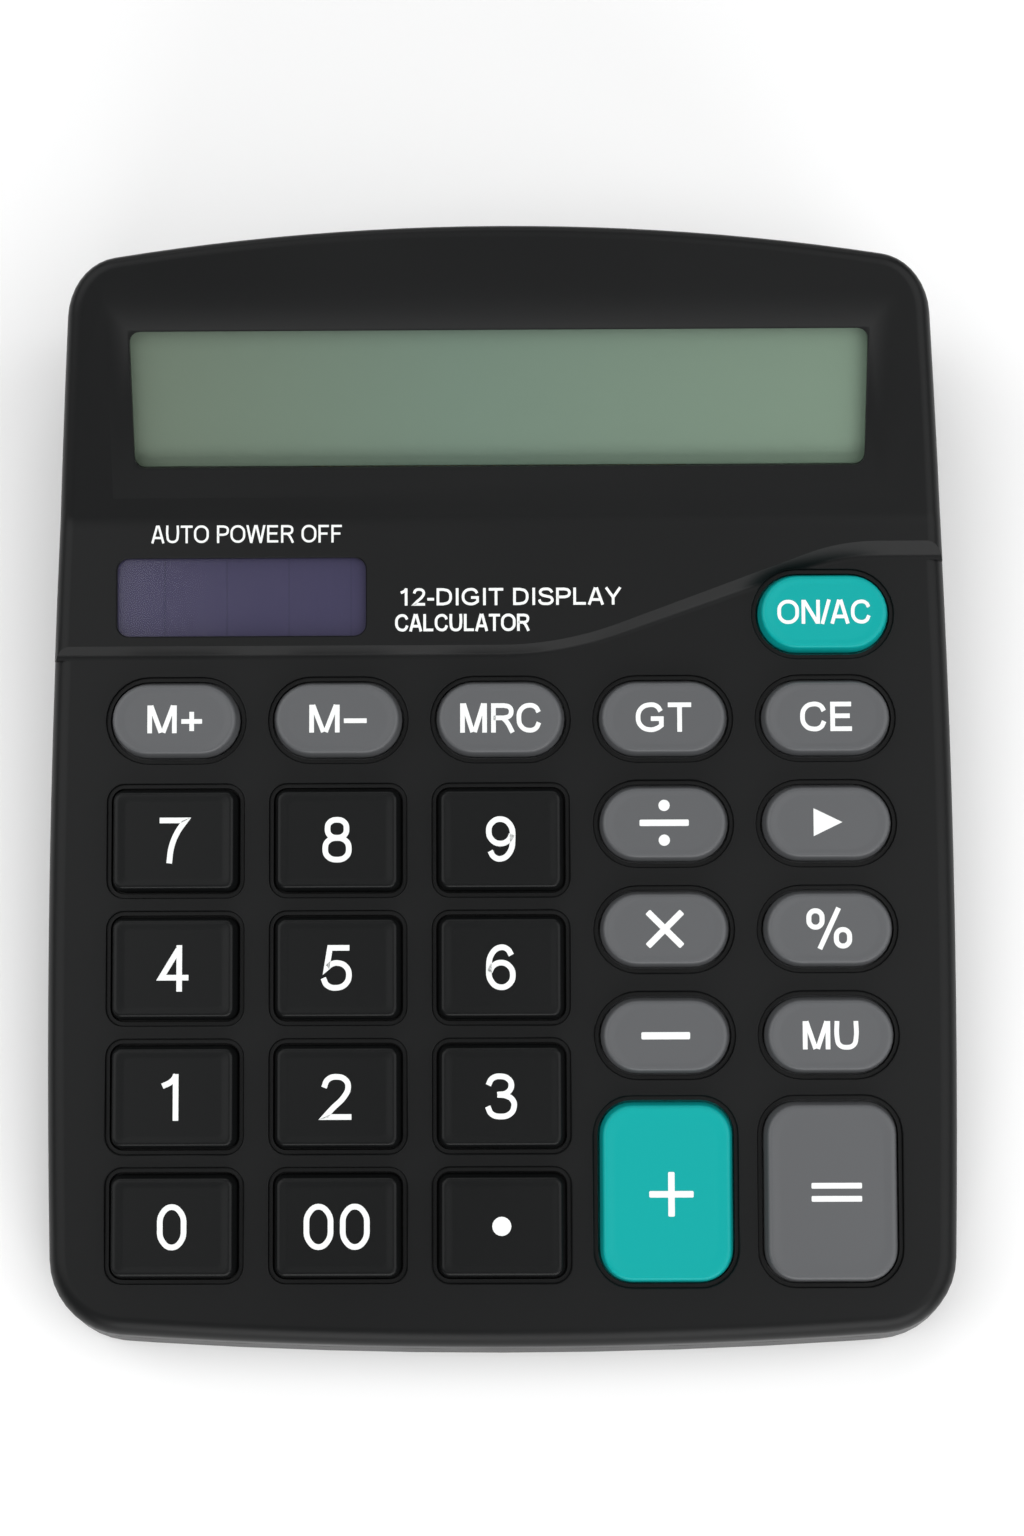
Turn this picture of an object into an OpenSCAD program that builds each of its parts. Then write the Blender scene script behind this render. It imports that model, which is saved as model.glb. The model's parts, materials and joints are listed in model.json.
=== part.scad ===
// Desk calculator: a wedge-shaped case with a raised display, 26 sprung keys,
// a solar window and one AA cell behind a hinged door.
// Origin: centre of the footprint, on the table. X right, Y to the rear, Z up. Millimetres.

/* [Case] */
// Width of the case at its base
case_w = 123.6; // [122:0.2:126]
// Length of the case at its base
case_l = 148.4; // [147.6:0.2:150]
// Wall thickness
wall = 2; // [1.8:0.1:2.2]
// Slope of the side and front walls, degrees from upright
side_draft = 6.5; // [5:0.5:7]
// Slope of the rear wall, degrees from upright
rear_draft = 5; // [4:0.5:6]
// Radius of the case corners at the base
corner_r = 11.2; // [10:0.2:12]
// Height of the seam between the two case halves
seam_z = 7.5; // [7:0.1:8]

/* [Top surfaces] */
// Slope of the key deck, degrees
deck_tilt = 4.5; // [4:0.5:5]
// Slope of the ledge behind the keys, degrees
ledge_tilt = 6.5; // [6:0.5:7]
// Slope of the display panel, degrees
panel_tilt = 26; // [25:0.5:27]
// Height of the ledge above the line of the deck, at the fold
ledge_rise = 1.6; // [1.4:0.1:1.8]

/* [Keys] */
// Distance between key columns
column_pitch = 21.6; // [21.4:0.1:21.8]
// Distance between the rows of number keys
number_pitch = 16.9; // [16.8:0.1:17]
// Distance between the rows of oval keys
oval_pitch = 14; // [13.8:0.1:14.2]
// Height of a key top above the deck
key_rise = 2.2; // [1.8:0.1:2.6]
// Gap around a key in its opening
key_gap = 0.3; // [0.2:0.05:0.35]

/* [Feet and fasteners] */
// Height of the case above the table
foot_h = 1.5; // [1.2:0.1:1.8]
// Radius of a rubber foot
foot_r = 4.5; // [4:0.5:5]
// Shank radius of a case screw
case_screw_r = 1.05; // [1:0.05:1.1]
// Shank radius of a small screw inside the case
small_screw_r = 0.8; // [0.75:0.05:0.85]

/* [Battery] */
// Radius of the AA cell
cell_r = 7.25; // [7.1:0.05:7.25]
// Length of the AA cell with its nub
cell_l = 50.5; // [49.5:0.1:50.5]

/* [Hidden] */
$fn = 48;
eps = 0.01;
reach = 100;

// Where the tilted surfaces stand: the deck's reference point is on its outer face
deck_y = -3.7;
deck_z = 18;
fold_y = 35.5;
fold_z = deck_z + (fold_y - deck_y) * tan(deck_tilt) + ledge_rise;
floor_z = foot_h + wall;
block_top = 41;

// Step from the deck up to the ledge: level on the left, then an S of two arcs and a slope
crest_y = 19.2;
crest_sweep = 13;
crest_angle = 19.3;
crest_r1 = 48;
crest_r2 = 29;

// Key shapes: [length, width, corner radius] of the top face
number_top = [16, 12.9, 1.2];
oval_top = [16.4, 9.3, 4.65];
power_top = [16.7, 9.7, 4.85];
large_top = [16.8, 22.8, 3.9];
skirt_grow = 0.3;
rim_grow = 0.5;
rim_depth = 0.4;
flange_grow = 0.8;
flange_t = 0.8;
stem_bottom = -3.2;
key_colors = ["#26282a", "#6b6b6d", "#16aaa6"];

// Rows, as distances along the deck from its reference point
number_row = -3.1;
memory_row = 12.95;
large_row = -49.5;
power_row = 26.9;
power_x = 43;

function column(i) = (i - 2) * column_pitch;
number_names = [
    ["key_7", "key_8", "key_9"],
    ["key_4", "key_5", "key_6"],
    ["key_1", "key_2", "key_3"],
    ["key_0", "key_00", "key_point"]
];
memory_names = ["key_m_plus", "key_m_minus", "key_mrc", "key_gt", "key_ce"];
operator_names = [["key_divide", "key_back"], ["key_multiply", "key_percent"], ["key_minus", "key_mu"]];

// Every key: [name, x, distance along the deck, top face, colour]
keys = concat(
    [["key_on_ac", power_x, power_row, power_top, key_colors[2]]],
    [for (i = [0:4]) [memory_names[i], column(i), memory_row, oval_top, key_colors[1]]],
    [for (r = [0:3], i = [0:2])
        [number_names[r][i], column(i), number_row - r * number_pitch, number_top, key_colors[0]]],
    [for (r = [0:2], i = [0:1])
        [operator_names[r][i], column(i + 3), memory_row - (r + 1) * oval_pitch, oval_top, key_colors[1]]],
    [["key_plus", column(3), large_row, large_top, key_colors[2]]],
    [["key_equals", column(4), large_row, large_top, key_colors[1]]]
);

// Key mat and main board, as heights below the deck's outer face
mat_top = -5.2;
board_top = -6;
board_t = 1.2;
dome_top = stem_bottom - 0.1;
dome_r = 3;
board_w = 104;
board_front = -61.5;
board_rear = 19.8;
mat_w = 100;
mat_tab_w = 19;
mat_rear = 17.2;
tab_x = 41.5;
tab_w = 21;
tab_rear = 33.4;
board_screws_at = [[-32.4, 5.9], [10.8, 5.9], [-10.8, -11.55],
    [32.4, -8.05], [-32.4, -45.35], [32.4, -35.9]];
boss_r = 1.5;
screw_gap = 0.05;

// Display, as distances up the panel from the fold
window_s = 16.8;
window_l = 96.4;
window_w = 16.9;
bezel_s = 16.3;
bezel_l = 102.8;
bezel_w = 26.2;
bezel_depth = 1;
lens_l = 100.4;
lens_w = 20.5;
lens_top = -1.8;
lens_t = 1;
glass_top = -3;
glass_t = 2.2;
pad_l = 108;
pad_w = 31.8;
pad_s = 16.5;
pad_bottom = -4.2;
holder_l = 104;
holder_w = 28;
holder_t = 2.9;
holder_screws_at = [[-42, 4.6], [42, 4.6], [-42, 28.6], [42, 28.6]];
ribbon_w = 50;
ribbon_channel = -3.6;

// Solar window, as distances from the fold along the ledge
solar_x = -34.45;
solar_s = -10.1;
solar_l = 33.2;
solar_w = 10.45;
solar_top = -0.9;
solar_t = 0.8;
solar_lip = 1.1;
cell_plate_t = 1.1;

// Case screws and feet
case_screws_at = [[-38, -68.4], [38, -68.4], [-55, 60], [55, 60]];
screw_seat_z = 3.6;
screw_head_r = 2.5;
screw_head_h = 1.6;
screw_l = 6;
small_head_r = 1.7;
small_head_h = 1.2;
feet_at = [[-50, -60], [50, -60], [-50, 50], [50, 50]];
foot_names = ["foot_front_left", "foot_front_right", "foot_rear_left", "foot_rear_right"];
foot_recess = 0.5;

// Battery bay
cell_y = 58.5;
cell_z = 10.95;
cell_x = -22.1;
nub_l = 1;
nub_r = 2.7;
bay_x = 30;
bay_front = 49;
bay_rear = 68;
bay_wall = 1.4;
bay_roof = 18.6;
door_x = 28.2;
door_front = 50.5;
door_rear = 68.1;
door_t = 1.6;
door_gap = 0.4;
pivot_y = 48.9;
pivot_z = 2.5;
pivot_r = 0.8;
pivot_gap = 0.08;
pivot_x = 20;
tab_l = 4.4;
pin_l = 0.9;
latch_w = 10;
bore_depth = 0.2;

// ---- Frames ----

module on_deck(x = 0, v = 0, w = 0)
    translate([0, deck_y, deck_z]) rotate([deck_tilt, 0, 0]) translate([x, v, w]) children();

module on_ledge(x = 0, s = 0, w = 0)
    translate([0, fold_y, fold_z]) rotate([ledge_tilt, 0, 0]) translate([x, s, w]) children();

module on_panel(x = 0, s = 0, w = 0)
    translate([0, fold_y, fold_z]) rotate([panel_tilt, 0, 0]) translate([x, s, w]) children();

function panel_point(s, w) =
    [fold_y + s * cos(panel_tilt) - w * sin(panel_tilt), fold_z + s * sin(panel_tilt) + w * cos(panel_tilt)];

function deck_point(v, w) =
    [deck_y + v * cos(deck_tilt) - w * sin(deck_tilt), deck_z + v * sin(deck_tilt) + w * cos(deck_tilt)];

// ---- Shared shapes ----

// Flat plate with rounded corners, standing on its middle
module rounded_plate(l, w, r, h) {
    linear_extrude(h) {
        square([l - 2 * r, w], center = true);
        if (w > 2 * r) square([l, w - 2 * r], center = true);
        for (sx = [-1, 1], sy = [-1, 1]) translate([sx * (l / 2 - r), sy * (w / 2 - r)]) circle(r);
    }
}

// Points of a shallow outward bow along a side, from -half to half
function bow(half, radius, steps = 5) =
    [for (i = [-steps:steps]) let (t = i / steps * half) [t, sqrt(radius * radius - t * t) - radius]];

// Plan of the case, with its long bowed sides and round corners
module case_plan(side_in, rear_in) {
    side_r = 1480;
    front_r = 750;
    rear_r = 350;
    side_shift = 11;
    cut = 3;
    half_w = case_w / 2 - side_in;
    front = -case_l / 2 + side_in;
    rear = case_l / 2 - rear_in;
    side = bow(case_l / 2 - cut, side_r);
    right = [for (p = side) [half_w + p[1] - p[0] * side_shift / side_r, p[0]]];
    left = [for (p = side) [-half_w - p[1] + p[0] * side_shift / side_r, p[0]]];
    back = [for (p = bow(half_w - cut, rear_r)) [-p[0], rear + p[1]]];
    nose = [for (p = bow(half_w - cut, front_r)) [p[0], front - p[1]]];
    r = corner_r - side_in;
    offset(r = r, $fn = 40) offset(delta = -r)
        polygon(concat(nose, right, back, [for (i = [len(left) - 1:-1:0]) left[i]]));
}

// Block inside the sloping outer walls, drawn in by a wall thickness
module case_block(inset) {
    height = block_top - foot_h;
    hull() {
        translate([0, 0, foot_h]) linear_extrude(eps) case_plan(inset, inset);
        translate([0, 0, block_top]) linear_extrude(eps)
            case_plan(inset + height * tan(side_draft), inset + height * tan(rear_draft));
    }
}

module deep_slab() cube([2 * reach, 2 * reach, reach]);
module under_deck(drop) on_deck(-reach, -reach, -reach - drop) deep_slab();
module under_ledge(drop) on_ledge(-reach, -reach, -reach - drop) deep_slab();
module under_panel(drop) on_panel(-reach, -reach, -reach - drop) deep_slab();

// Everything behind the curved step, seen from above
function bulge(r, a) = r * (1 - cos(a));
crest_run = (crest_sweep - bulge(crest_r1, crest_angle) - bulge(crest_r2, crest_angle)) / tan(crest_angle);
crest_end = (crest_r1 + crest_r2) * sin(crest_angle) + crest_run;

module behind_step(back) {
    half = 70;
    steps = 5;
    turns = [for (i = [0:steps]) crest_angle * i / steps];
    first = [for (a = turns) [crest_r1 * sin(a), crest_y + bulge(crest_r1, a)]];
    last = [for (a = turns)
        [crest_end - crest_r2 * sin(crest_angle - a),
            crest_y + crest_sweep - bulge(crest_r2, crest_angle - a)]];
    translate([0, back, 0]) linear_extrude(block_top + 20) polygon(concat(
        [[-half, crest_y]], first, last, [[half, crest_y + crest_sweep], [half, 90], [-half, 90]]));
}

module under_top(drop) {
    under_deck(drop);
    intersection() {
        behind_step(drop);
        union() {
            under_ledge(drop);
            under_panel(drop);
        }
    }
}

// Wire or lead: a round tube swept along points, as one closed solid
function unit(v) = v / norm(v);
function along(path, i) =
    unit(path[min(i + 1, len(path) - 1)] - path[max(i - 1, 0)]);
function across(d) = unit(cross(d, abs(d[2]) > 0.9 ? [1, 0, 0] : [0, 0, 1]));

module wire(path, radius, sides = 8) {
    rings = len(path);
    points = [for (i = [0:rings - 1]) let (d = along(path, i), a = across(d), b = cross(d, a))
        for (j = [0:sides - 1]) let (t = 360 * j / sides) path[i] + radius * (cos(t) * a + sin(t) * b)];
    walls = [for (i = [0:rings - 2], j = [0:sides - 1]) let (k = (j + 1) % sides)
        [(i + 1) * sides + j, (i + 1) * sides + k, i * sides + k, i * sides + j]];
    start = [[for (j = [0:sides - 1]) j]];
    end = [[for (j = [sides - 1:-1:0]) (rings - 1) * sides + j]];
    polyhedron(points, concat(walls, start, end));
}

// Smooth path through hand-placed points
function spline_point(a, b, c, d, t) =
    0.5 * (2 * b + (c - a) * t + (2 * a - 5 * b + 4 * c - d) * t * t + (3 * b - a - 3 * c + d) * t * t * t);
function smooth_path(p, steps = 4) = concat(
    [for (i = [0:len(p) - 2], j = [0:steps - 1])
        spline_point(p[max(i - 1, 0)], p[i], p[i + 1], p[min(i + 2, len(p) - 1)], j / steps)],
    [p[len(p) - 1]]);

// ---- Keys ----

module key_cap(k) {
    top = k[3];
    l = top[0] + 2 * skirt_grow;
    w = top[1] + 2 * skirt_grow;
    r = top[2] + skirt_grow;
    shell = 1.2;
    shoulder = 0.6;
    flange_top = -wall - 0.1;
    stem_r = 1.8;
    color(k[4]) on_deck(k[1], k[2]) {
        difference() {
            union() {
                translate([0, 0, flange_top]) rounded_plate(l, w, r, key_rise - shoulder - flange_top);
                translate([0, 0, key_rise - shoulder]) rounded_plate(top[0], top[1], top[2], shoulder);
                translate([0, 0, flange_top - flange_t])
                    rounded_plate(l + 2 * flange_grow, w + 2 * flange_grow, r + flange_grow, flange_t);
            }
            translate([0, 0, flange_top - flange_t - 1])
                rounded_plate(l - 2 * shell, w - 2 * shell, max(r - shell, 0.5),
                    key_rise - shell - flange_top + flange_t + 1);
        }
        translate([0, 0, stem_bottom]) cylinder(r = stem_r, h = key_rise - stem_bottom - shell + 0.2);
    }
}

module key_opening(k) {
    l = k[3][0] + 2 * (skirt_grow + key_gap);
    w = k[3][1] + 2 * (skirt_grow + key_gap);
    r = k[3][2] + skirt_grow + key_gap;
    on_deck(k[1], k[2], -wall - 2) rounded_plate(l, w, r, wall + 6);
    on_deck(k[1], k[2], -rim_depth) rounded_plate(l + 2 * rim_grow, w + 2 * rim_grow, r + rim_grow, 4);
}

// Silicone mat: a sheet with one dome under each key
module key_mat() {
    sheet = board_top - mat_top;
    color("#d8d4cc") difference() {
        union() {
            on_deck(-mat_w / 2, board_front + 1, board_top) cube([mat_w, mat_rear - board_front - 1, -sheet]);
            on_deck(tab_x - mat_tab_w / 2, mat_rear - 1, board_top)
                cube([mat_tab_w, tab_rear - mat_rear, -sheet]);
            for (k = keys) on_deck(k[1], k[2], mat_top - 0.1)
                cylinder(r1 = dome_r, r2 = dome_r - 0.9, h = dome_top - mat_top + 0.1);
        }
        for (p = board_screws_at) on_deck(p[0], p[1], board_top - 1) cylinder(r = boss_r + 0.4, h = 4);
    }
}

// ---- Case ----

module bezel_cut() {
    on_panel() hull() {
        translate([0, bezel_s, 0]) rounded_plate(bezel_l, bezel_w, 1.2, 1);
        translate([0, window_s, -bezel_depth]) rounded_plate(window_l, window_w, 1.2, eps);
    }
}

module case_screw_bosses() {
    intersection() {
        for (p = case_screws_at) translate([p[0], p[1], screw_seat_z + 1.9]) cylinder(r = 2.6, h = 40);
        case_block(wall / 2);
        under_top(wall / 2);
    }
}

module upper_case() {
    color("#2b2d2f") difference() {
        union() {
            difference() {
                intersection() {
                    case_block(0);
                    under_top(0);
                }
                intersection() {
                    case_block(wall);
                    under_top(wall);
                }
            }
            intersection() {
                on_panel(-pad_l / 2, pad_s - pad_w / 2, pad_bottom)
                    cube([pad_l, pad_w, -pad_bottom - wall / 2]);
                under_top(wall / 2);
            }
            on_ledge(solar_x - solar_l / 2 - 3, solar_s - solar_w / 2 - 2.4, -3.2)
                cube([solar_l + 6, solar_w + 4.8, 2.2]);
            for (p = board_screws_at) on_deck(p[0], p[1], board_top)
                cylinder(r = boss_r, h = -board_top - wall / 2);
            case_screw_bosses();
        }
        translate([-reach, -reach, -reach]) cube([2 * reach, 2 * reach, reach + seam_z]);
        for (k = keys) key_opening(k);
        bezel_cut();
        on_panel(0, window_s, -10) rounded_plate(window_l, window_w, 1.6, 10);
        on_panel(-lens_l / 2 - 0.2, window_s - lens_w / 2 - 0.2, -10)
            cube([lens_l + 0.4, lens_w + 0.4, 10 + lens_top]);
        on_panel(-ribbon_w / 2 - 0.5, -2, -10) cube([ribbon_w + 1, 9, 10 + ribbon_channel]);
        on_ledge(solar_x, solar_s, -4) rounded_plate(solar_l, solar_w, 1.6, 5);
        on_ledge(solar_x - solar_l / 2 - solar_lip - 0.1, solar_s - solar_w / 2 - solar_lip - 0.1, -6)
            cube([solar_l + 2 * solar_lip + 0.2, solar_w + 2 * solar_lip + 0.2, 6 + solar_top]);
        for (p = board_screws_at) on_deck(p[0], p[1], board_top - 1)
            cylinder(r = small_screw_r + screw_gap, h = 4.4);
        for (p = holder_screws_at) on_panel(p[0], p[1], pad_bottom - 1)
            cylinder(r = small_screw_r + screw_gap, h = 3);
        for (p = case_screws_at) translate([p[0], p[1], 0])
            cylinder(r = case_screw_r + screw_gap, h = screw_seat_z + screw_l + 0.6);
    }
}

module screw_well(p) {
    translate([p[0], p[1], foot_h - 1]) cylinder(r = screw_head_r + 0.4, h = screw_seat_z - foot_h + 1);
    translate([p[0], p[1], 0]) cylinder(r = case_screw_r + 0.3, h = 20);
}

module bay_shell() {
    difference() {
        translate([-bay_x - bay_wall, bay_front - bay_wall, floor_z - 0.5])
            cube([2 * (bay_x + bay_wall), bay_rear - bay_front + 2 * bay_wall,
                bay_roof + bay_wall - floor_z + 0.5]);
        translate([-bay_x, bay_front, 0]) cube([2 * bay_x, bay_rear - bay_front, bay_roof]);
    }
    for (x = [-14, 14]) difference() {
        translate([x - 0.6, bay_front - 0.5, floor_z + 1.5])
            cube([1.2, bay_rear - bay_front + 1, bay_roof - floor_z - 1]);
        translate([x - 2, cell_y, cell_z]) rotate([0, 90, 0]) cylinder(r = cell_r + 0.25, h = 4);
        translate([x - 2, cell_y - cell_r - 0.25, 0]) cube([4, 2 * cell_r + 0.5, cell_z]);
    }
}

module lower_case() {
    slot = 1.7;
    color("#232527") difference() {
        union() {
            difference() {
                case_block(0);
                translate([-reach, -reach, seam_z]) cube([2 * reach, 2 * reach, reach]);
                intersection() {
                    case_block(wall);
                    translate([-reach, -reach, floor_z]) cube([2 * reach, 2 * reach, reach]);
                }
            }
            difference() {
                intersection() {
                    case_block(wall + 0.15);
                    translate([-reach, -reach, floor_z]) cube([2 * reach, 2 * reach, seam_z + 1.2 - floor_z]);
                }
                case_block(wall + 1.15);
                for (p = case_screws_at) translate([p[0], p[1], seam_z]) cylinder(r = 3.1, h = 5);
            }
            intersection() {
                for (p = case_screws_at) translate([p[0], p[1], foot_h])
                    cylinder(r = 4, h = screw_seat_z + 1.8 - foot_h);
                case_block(wall / 2);
            }
            bay_shell();
        }
        for (p = case_screws_at) screw_well(p);
        for (p = feet_at) translate([p[0], p[1], 0]) cylinder(r = foot_r + 0.1, h = foot_h + foot_recess);
        // battery door opening, its hinge notches and its latch notch
        translate([-door_x - door_gap, door_front - door_gap, 0])
            cube([2 * (door_x + door_gap), door_rear - door_front + 2 * door_gap, floor_z + 0.5]);
        for (x = [-pivot_x, pivot_x]) {
            translate([x - tab_l / 2 - 0.3, pivot_y - pivot_r - 0.3, 0])
                cube([tab_l + 0.6, 4, pivot_z + pivot_r + 0.15]);
            translate([x - tab_l / 2 - pin_l - bore_depth, pivot_y, pivot_z]) rotate([0, 90, 0])
                cylinder(r = pivot_r + pivot_gap, h = tab_l + 2 * (pin_l + bore_depth));
        }
        translate([-latch_w / 2 - 0.5, door_rear - 1, 0]) cube([latch_w + 1, 4.1, floor_z + 4]);
        translate([-latch_w / 2 - 0.5, door_rear, floor_z]) cube([latch_w + 1, 3.9, 6]);
        // contact tabs pass through the ends of the bay
        for (x = [-bay_x - bay_wall - 1, bay_x - 1]) translate([x, cell_y - slot, cell_z - 0.5])
            cube([bay_wall + 2, 2 * slot, 1]);
    }
}

module foot(i) {
    color("#1a1a1a") translate([feet_at[i][0], feet_at[i][1], 0])
        cylinder(r = foot_r, h = foot_h + foot_recess);
}

module battery_door() {
    grip = 8;
    color("#232527") {
        translate([-door_x, door_front, foot_h]) difference() {
            cube([2 * door_x, door_rear - door_front, door_t]);
            for (i = [0:3]) translate([door_x - grip, 11 + 1.4 * i, -1]) cube([2 * grip, 0.6, 1.3]);
        }
        for (x = [-pivot_x, pivot_x]) {
            translate([x - tab_l / 2, pivot_y, pivot_z - pivot_r]) cube([tab_l, 2, 1.3]);
            translate([x - tab_l / 2 - pin_l, pivot_y, pivot_z]) rotate([0, 90, 0])
                cylinder(r = pivot_r, h = tab_l + 2 * pin_l);
        }
    }
}

// Springy U-shaped tongue that hooks over the edge of the case floor
module door_latch() {
    y = door_rear;
    z = foot_h + 0.2;
    outline = [[y, z], [y + 0.8, z], [y + 0.8, z + 4.2], [y + 1.6, z + 4.2], [y + 1.6, z + 0.4],
        [y + 2.6, z + 0.4], [y + 2.6, z + 2.1], [y + 3.3, z + 2.3], [y + 2.6, z + 3], [y + 2.4, z + 5],
        [y, z + 5]];
    color("#232527") translate([latch_w / 2, 0, 0]) rotate([90, 0, -90]) mirror([1, 0, 0])
        linear_extrude(latch_w) polygon(outline);
}

// ---- Display and solar ----

module display_window() {
    color([0.75, 0.8, 0.78, 0.4]) on_panel(-lens_l / 2, window_s - lens_w / 2, lens_top - lens_t)
        cube([lens_l, lens_w, lens_t]);
}

module lcd_glass() {
    color("#8b9a83") on_panel(-lens_l / 2 + 0.3, window_s - lens_w / 2 + 0.3, glass_top - glass_t)
        cube([lens_l - 0.6, lens_w - 0.6, glass_t]);
}

module lcd_holder() {
    top = pad_bottom - 0.1;
    color("#d9d9d4") difference() {
        on_panel(0, window_s - 0.2, top - holder_t) rounded_plate(holder_l, holder_w, 2, holder_t);
        on_panel(-lens_l / 2 + 0.1, window_s - lens_w / 2 + 0.1, glass_top - glass_t - 0.1)
            cube([lens_l - 0.2, lens_w - 0.2, 5]);
        on_panel(-27, -5, glass_top - glass_t - 0.1) cube([54, 15, 5]);
        for (p = holder_screws_at) on_panel(p[0], p[1], top - holder_t - 1)
            cylinder(r = small_screw_r + 0.2, h = 6);
    }
}

// Flexible strip from the display's lower edge to the main board
module display_ribbon() {
    t = 0.2;
    start = panel_point(window_s - lens_w / 2 + 0.25, glass_top - 1.2);
    out = panel_point(2.2, glass_top - 1.2);
    land = deck_point(board_rear - 0.4, board_top + 0.15);
    end = deck_point(mat_rear + 0.6, board_top + 0.15);
    bend_a = out + [-2.6, -2];
    bend_b = out + [-5.5, -4];
    bend_c = land + [6, 0.6];
    line = smooth_path([start, out, bend_a, bend_b, bend_c, land, end]);
    normal = [for (i = [0:len(line) - 1]) let (d = along(line, i)) [-d[1], d[0]]];
    upper = [for (i = [0:len(line) - 1]) line[i] + normal[i] * t / 2];
    lower = [for (i = [len(line) - 1:-1:0]) line[i] - normal[i] * t / 2];
    color("#b98b3c") translate([ribbon_w / 2, 0, 0]) rotate([90, 0, -90]) mirror([1, 0, 0])
        linear_extrude(ribbon_w) polygon(concat(upper, lower));
}

module solar_window() {
    color([0.25, 0.25, 0.4, 0.6])
        on_ledge(solar_x - solar_l / 2 - solar_lip, solar_s - solar_w / 2 - solar_lip, solar_top - solar_t)
            cube([solar_l + 2 * solar_lip, solar_w + 2 * solar_lip, solar_t]);
}

module solar_cell() {
    color("#494a5e")
        on_ledge(solar_x - solar_l / 2 - 0.9, solar_s - solar_w / 2 - 0.9, solar_top - solar_t - cell_plate_t)
            cube([solar_l + 1.8, solar_w + 1.8, cell_plate_t]);
}

// ---- Electronics ----

module main_board() {
    color("#2f6b3c") difference() {
        union() {
            on_deck(-board_w / 2, board_front, board_top - board_t)
                cube([board_w, board_rear - board_front, board_t]);
            on_deck(tab_x - tab_w / 2, board_rear - 1, board_top - board_t)
                cube([tab_w, tab_rear - board_rear + 1, board_t]);
        }
        for (p = board_screws_at) on_deck(p[0], p[1], -10) cylinder(r = small_screw_r + 0.2, h = 6);
    }
}

module chip_blob() {
    blob_r = 6;
    blob_h = 1.6;
    color("#151515") on_deck(4, 0, board_top - board_t) mirror([0, 0, 1]) {
        cylinder(r = blob_r, h = blob_h / 3);
        translate([0, 0, blob_h / 3]) cylinder(r1 = blob_r, r2 = blob_r / 2, h = blob_h * 2 / 3);
    }
}

module capacitor() {
    can_r = 2.5;
    color("#2a3f7a") on_deck(-30, 11, board_top - board_t - can_r) rotate([0, 90, 0]) {
        cylinder(r = can_r, h = 7);
        translate([0, 0, 7]) cylinder(r = can_r - 0.4, h = 0.5);
    }
}

module battery_cell() {
    color("#b9963a") translate([cell_x, cell_y, cell_z]) rotate([0, 90, 0]) {
        cylinder(r = cell_r, h = cell_l - nub_l);
        cylinder(r = nub_r, h = cell_l);
    }
}

module contact_plate(x, side) {
    plate_t = 0.4;
    tab_reach = 3.4;
    translate([x, cell_y - 5.5, cell_z - 5.5]) cube([plate_t, 11, 11]);
    translate([side > 0 ? x : x + plate_t - tab_reach, cell_y - 1.5, cell_z - 0.2])
        cube([tab_reach, 3, plate_t]);
}

module battery_plate() {
    color("silver") contact_plate(cell_x + cell_l + 0.1, 1);
}

// Conical compression spring on its contact plate
module battery_spring() {
    plate_x = -bay_x + 0.2;
    wire_r = 0.35;
    turns = 4;
    per_turn = 12;
    start_x = plate_x + 0.4 + wire_r * 0.5;
    span = cell_x - start_x - wire_r - 0.05;
    coil = [for (i = [0:turns * per_turn])
        let (t = i / (turns * per_turn), a = 360 * i / per_turn, r = 5 - 2 * t)
            [start_x + span * t, cell_y + r * cos(a), cell_z + r * sin(a)]];
    color("silver") {
        contact_plate(plate_x, -1);
        wire(coil, wire_r, 6);
    }
}

lead_r = 0.6;
battery_plus_route = [[31.9, 58.5, 11.8], [34.5, 56, 11.5], [36, 50, 10], [34, 40, 9], [29, 31, 9.5],
    [27.5, 23, 13], [28, 18, 15.2], [28.5, 15.4, 14.2]];
battery_minus_route = [[-32.9, 58.5, 11.8], [-36, 56, 11.5], [-38, 50, 10], [-38, 40, 9], [-36, 30, 10],
    [-33, 21, 14.6], [-32, 17, 15.4], [-32, 15.4, 14.2]];
solar_plus_route = [[-24, 27, 17.7], [-24.5, 25, 16.6], [-27, 21, 15.6], [-29, 17.5, 15.2],
    [-29, 15.5, 14.2]];
solar_minus_route = [[-45, 27, 17.7], [-44.5, 25, 16.6], [-43, 21, 15.6], [-42, 17.5, 15.2],
    [-42, 15.5, 14.2]];

module battery_lead_plus() { color("#b3201f") wire(smooth_path(battery_plus_route, 3), lead_r); }
module battery_lead_minus() { color("#1c1c1c") wire(smooth_path(battery_minus_route, 3), lead_r); }
module solar_lead_plus() { color("#b3201f") wire(smooth_path(solar_plus_route, 3), lead_r); }
module solar_lead_minus() { color("#1c1c1c") wire(smooth_path(solar_minus_route, 3), lead_r); }

// ---- Screws ----

// Pan-head screw with its head seat at the origin and its shank upwards
module screw(r, l, head_r, head_h) {
    difference() {
        translate([0, 0, -head_h]) cylinder(r = head_r, h = head_h);
        for (a = [0, 90]) rotate(a) translate([-head_r * 0.6, -r * 0.3, -head_h - 1])
            cube([head_r * 1.2, r * 0.6, 1 + head_h * 0.5]);
    }
    cylinder(r = r, h = l);
}

module case_screws() {
    color("#8c8f93") for (p = case_screws_at) translate([p[0], p[1], screw_seat_z])
        screw(case_screw_r, screw_l, screw_head_r, screw_head_h);
}

module board_screws() {
    color("#8c8f93") for (p = board_screws_at) on_deck(p[0], p[1], board_top - board_t)
        screw(small_screw_r, 4, small_head_r, small_head_h);
}

module holder_screws() {
    color("#8c8f93") for (p = holder_screws_at) on_panel(p[0], p[1], pad_bottom - 0.1 - holder_t)
        screw(small_screw_r, 4.6, small_head_r, small_head_h);
}

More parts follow.
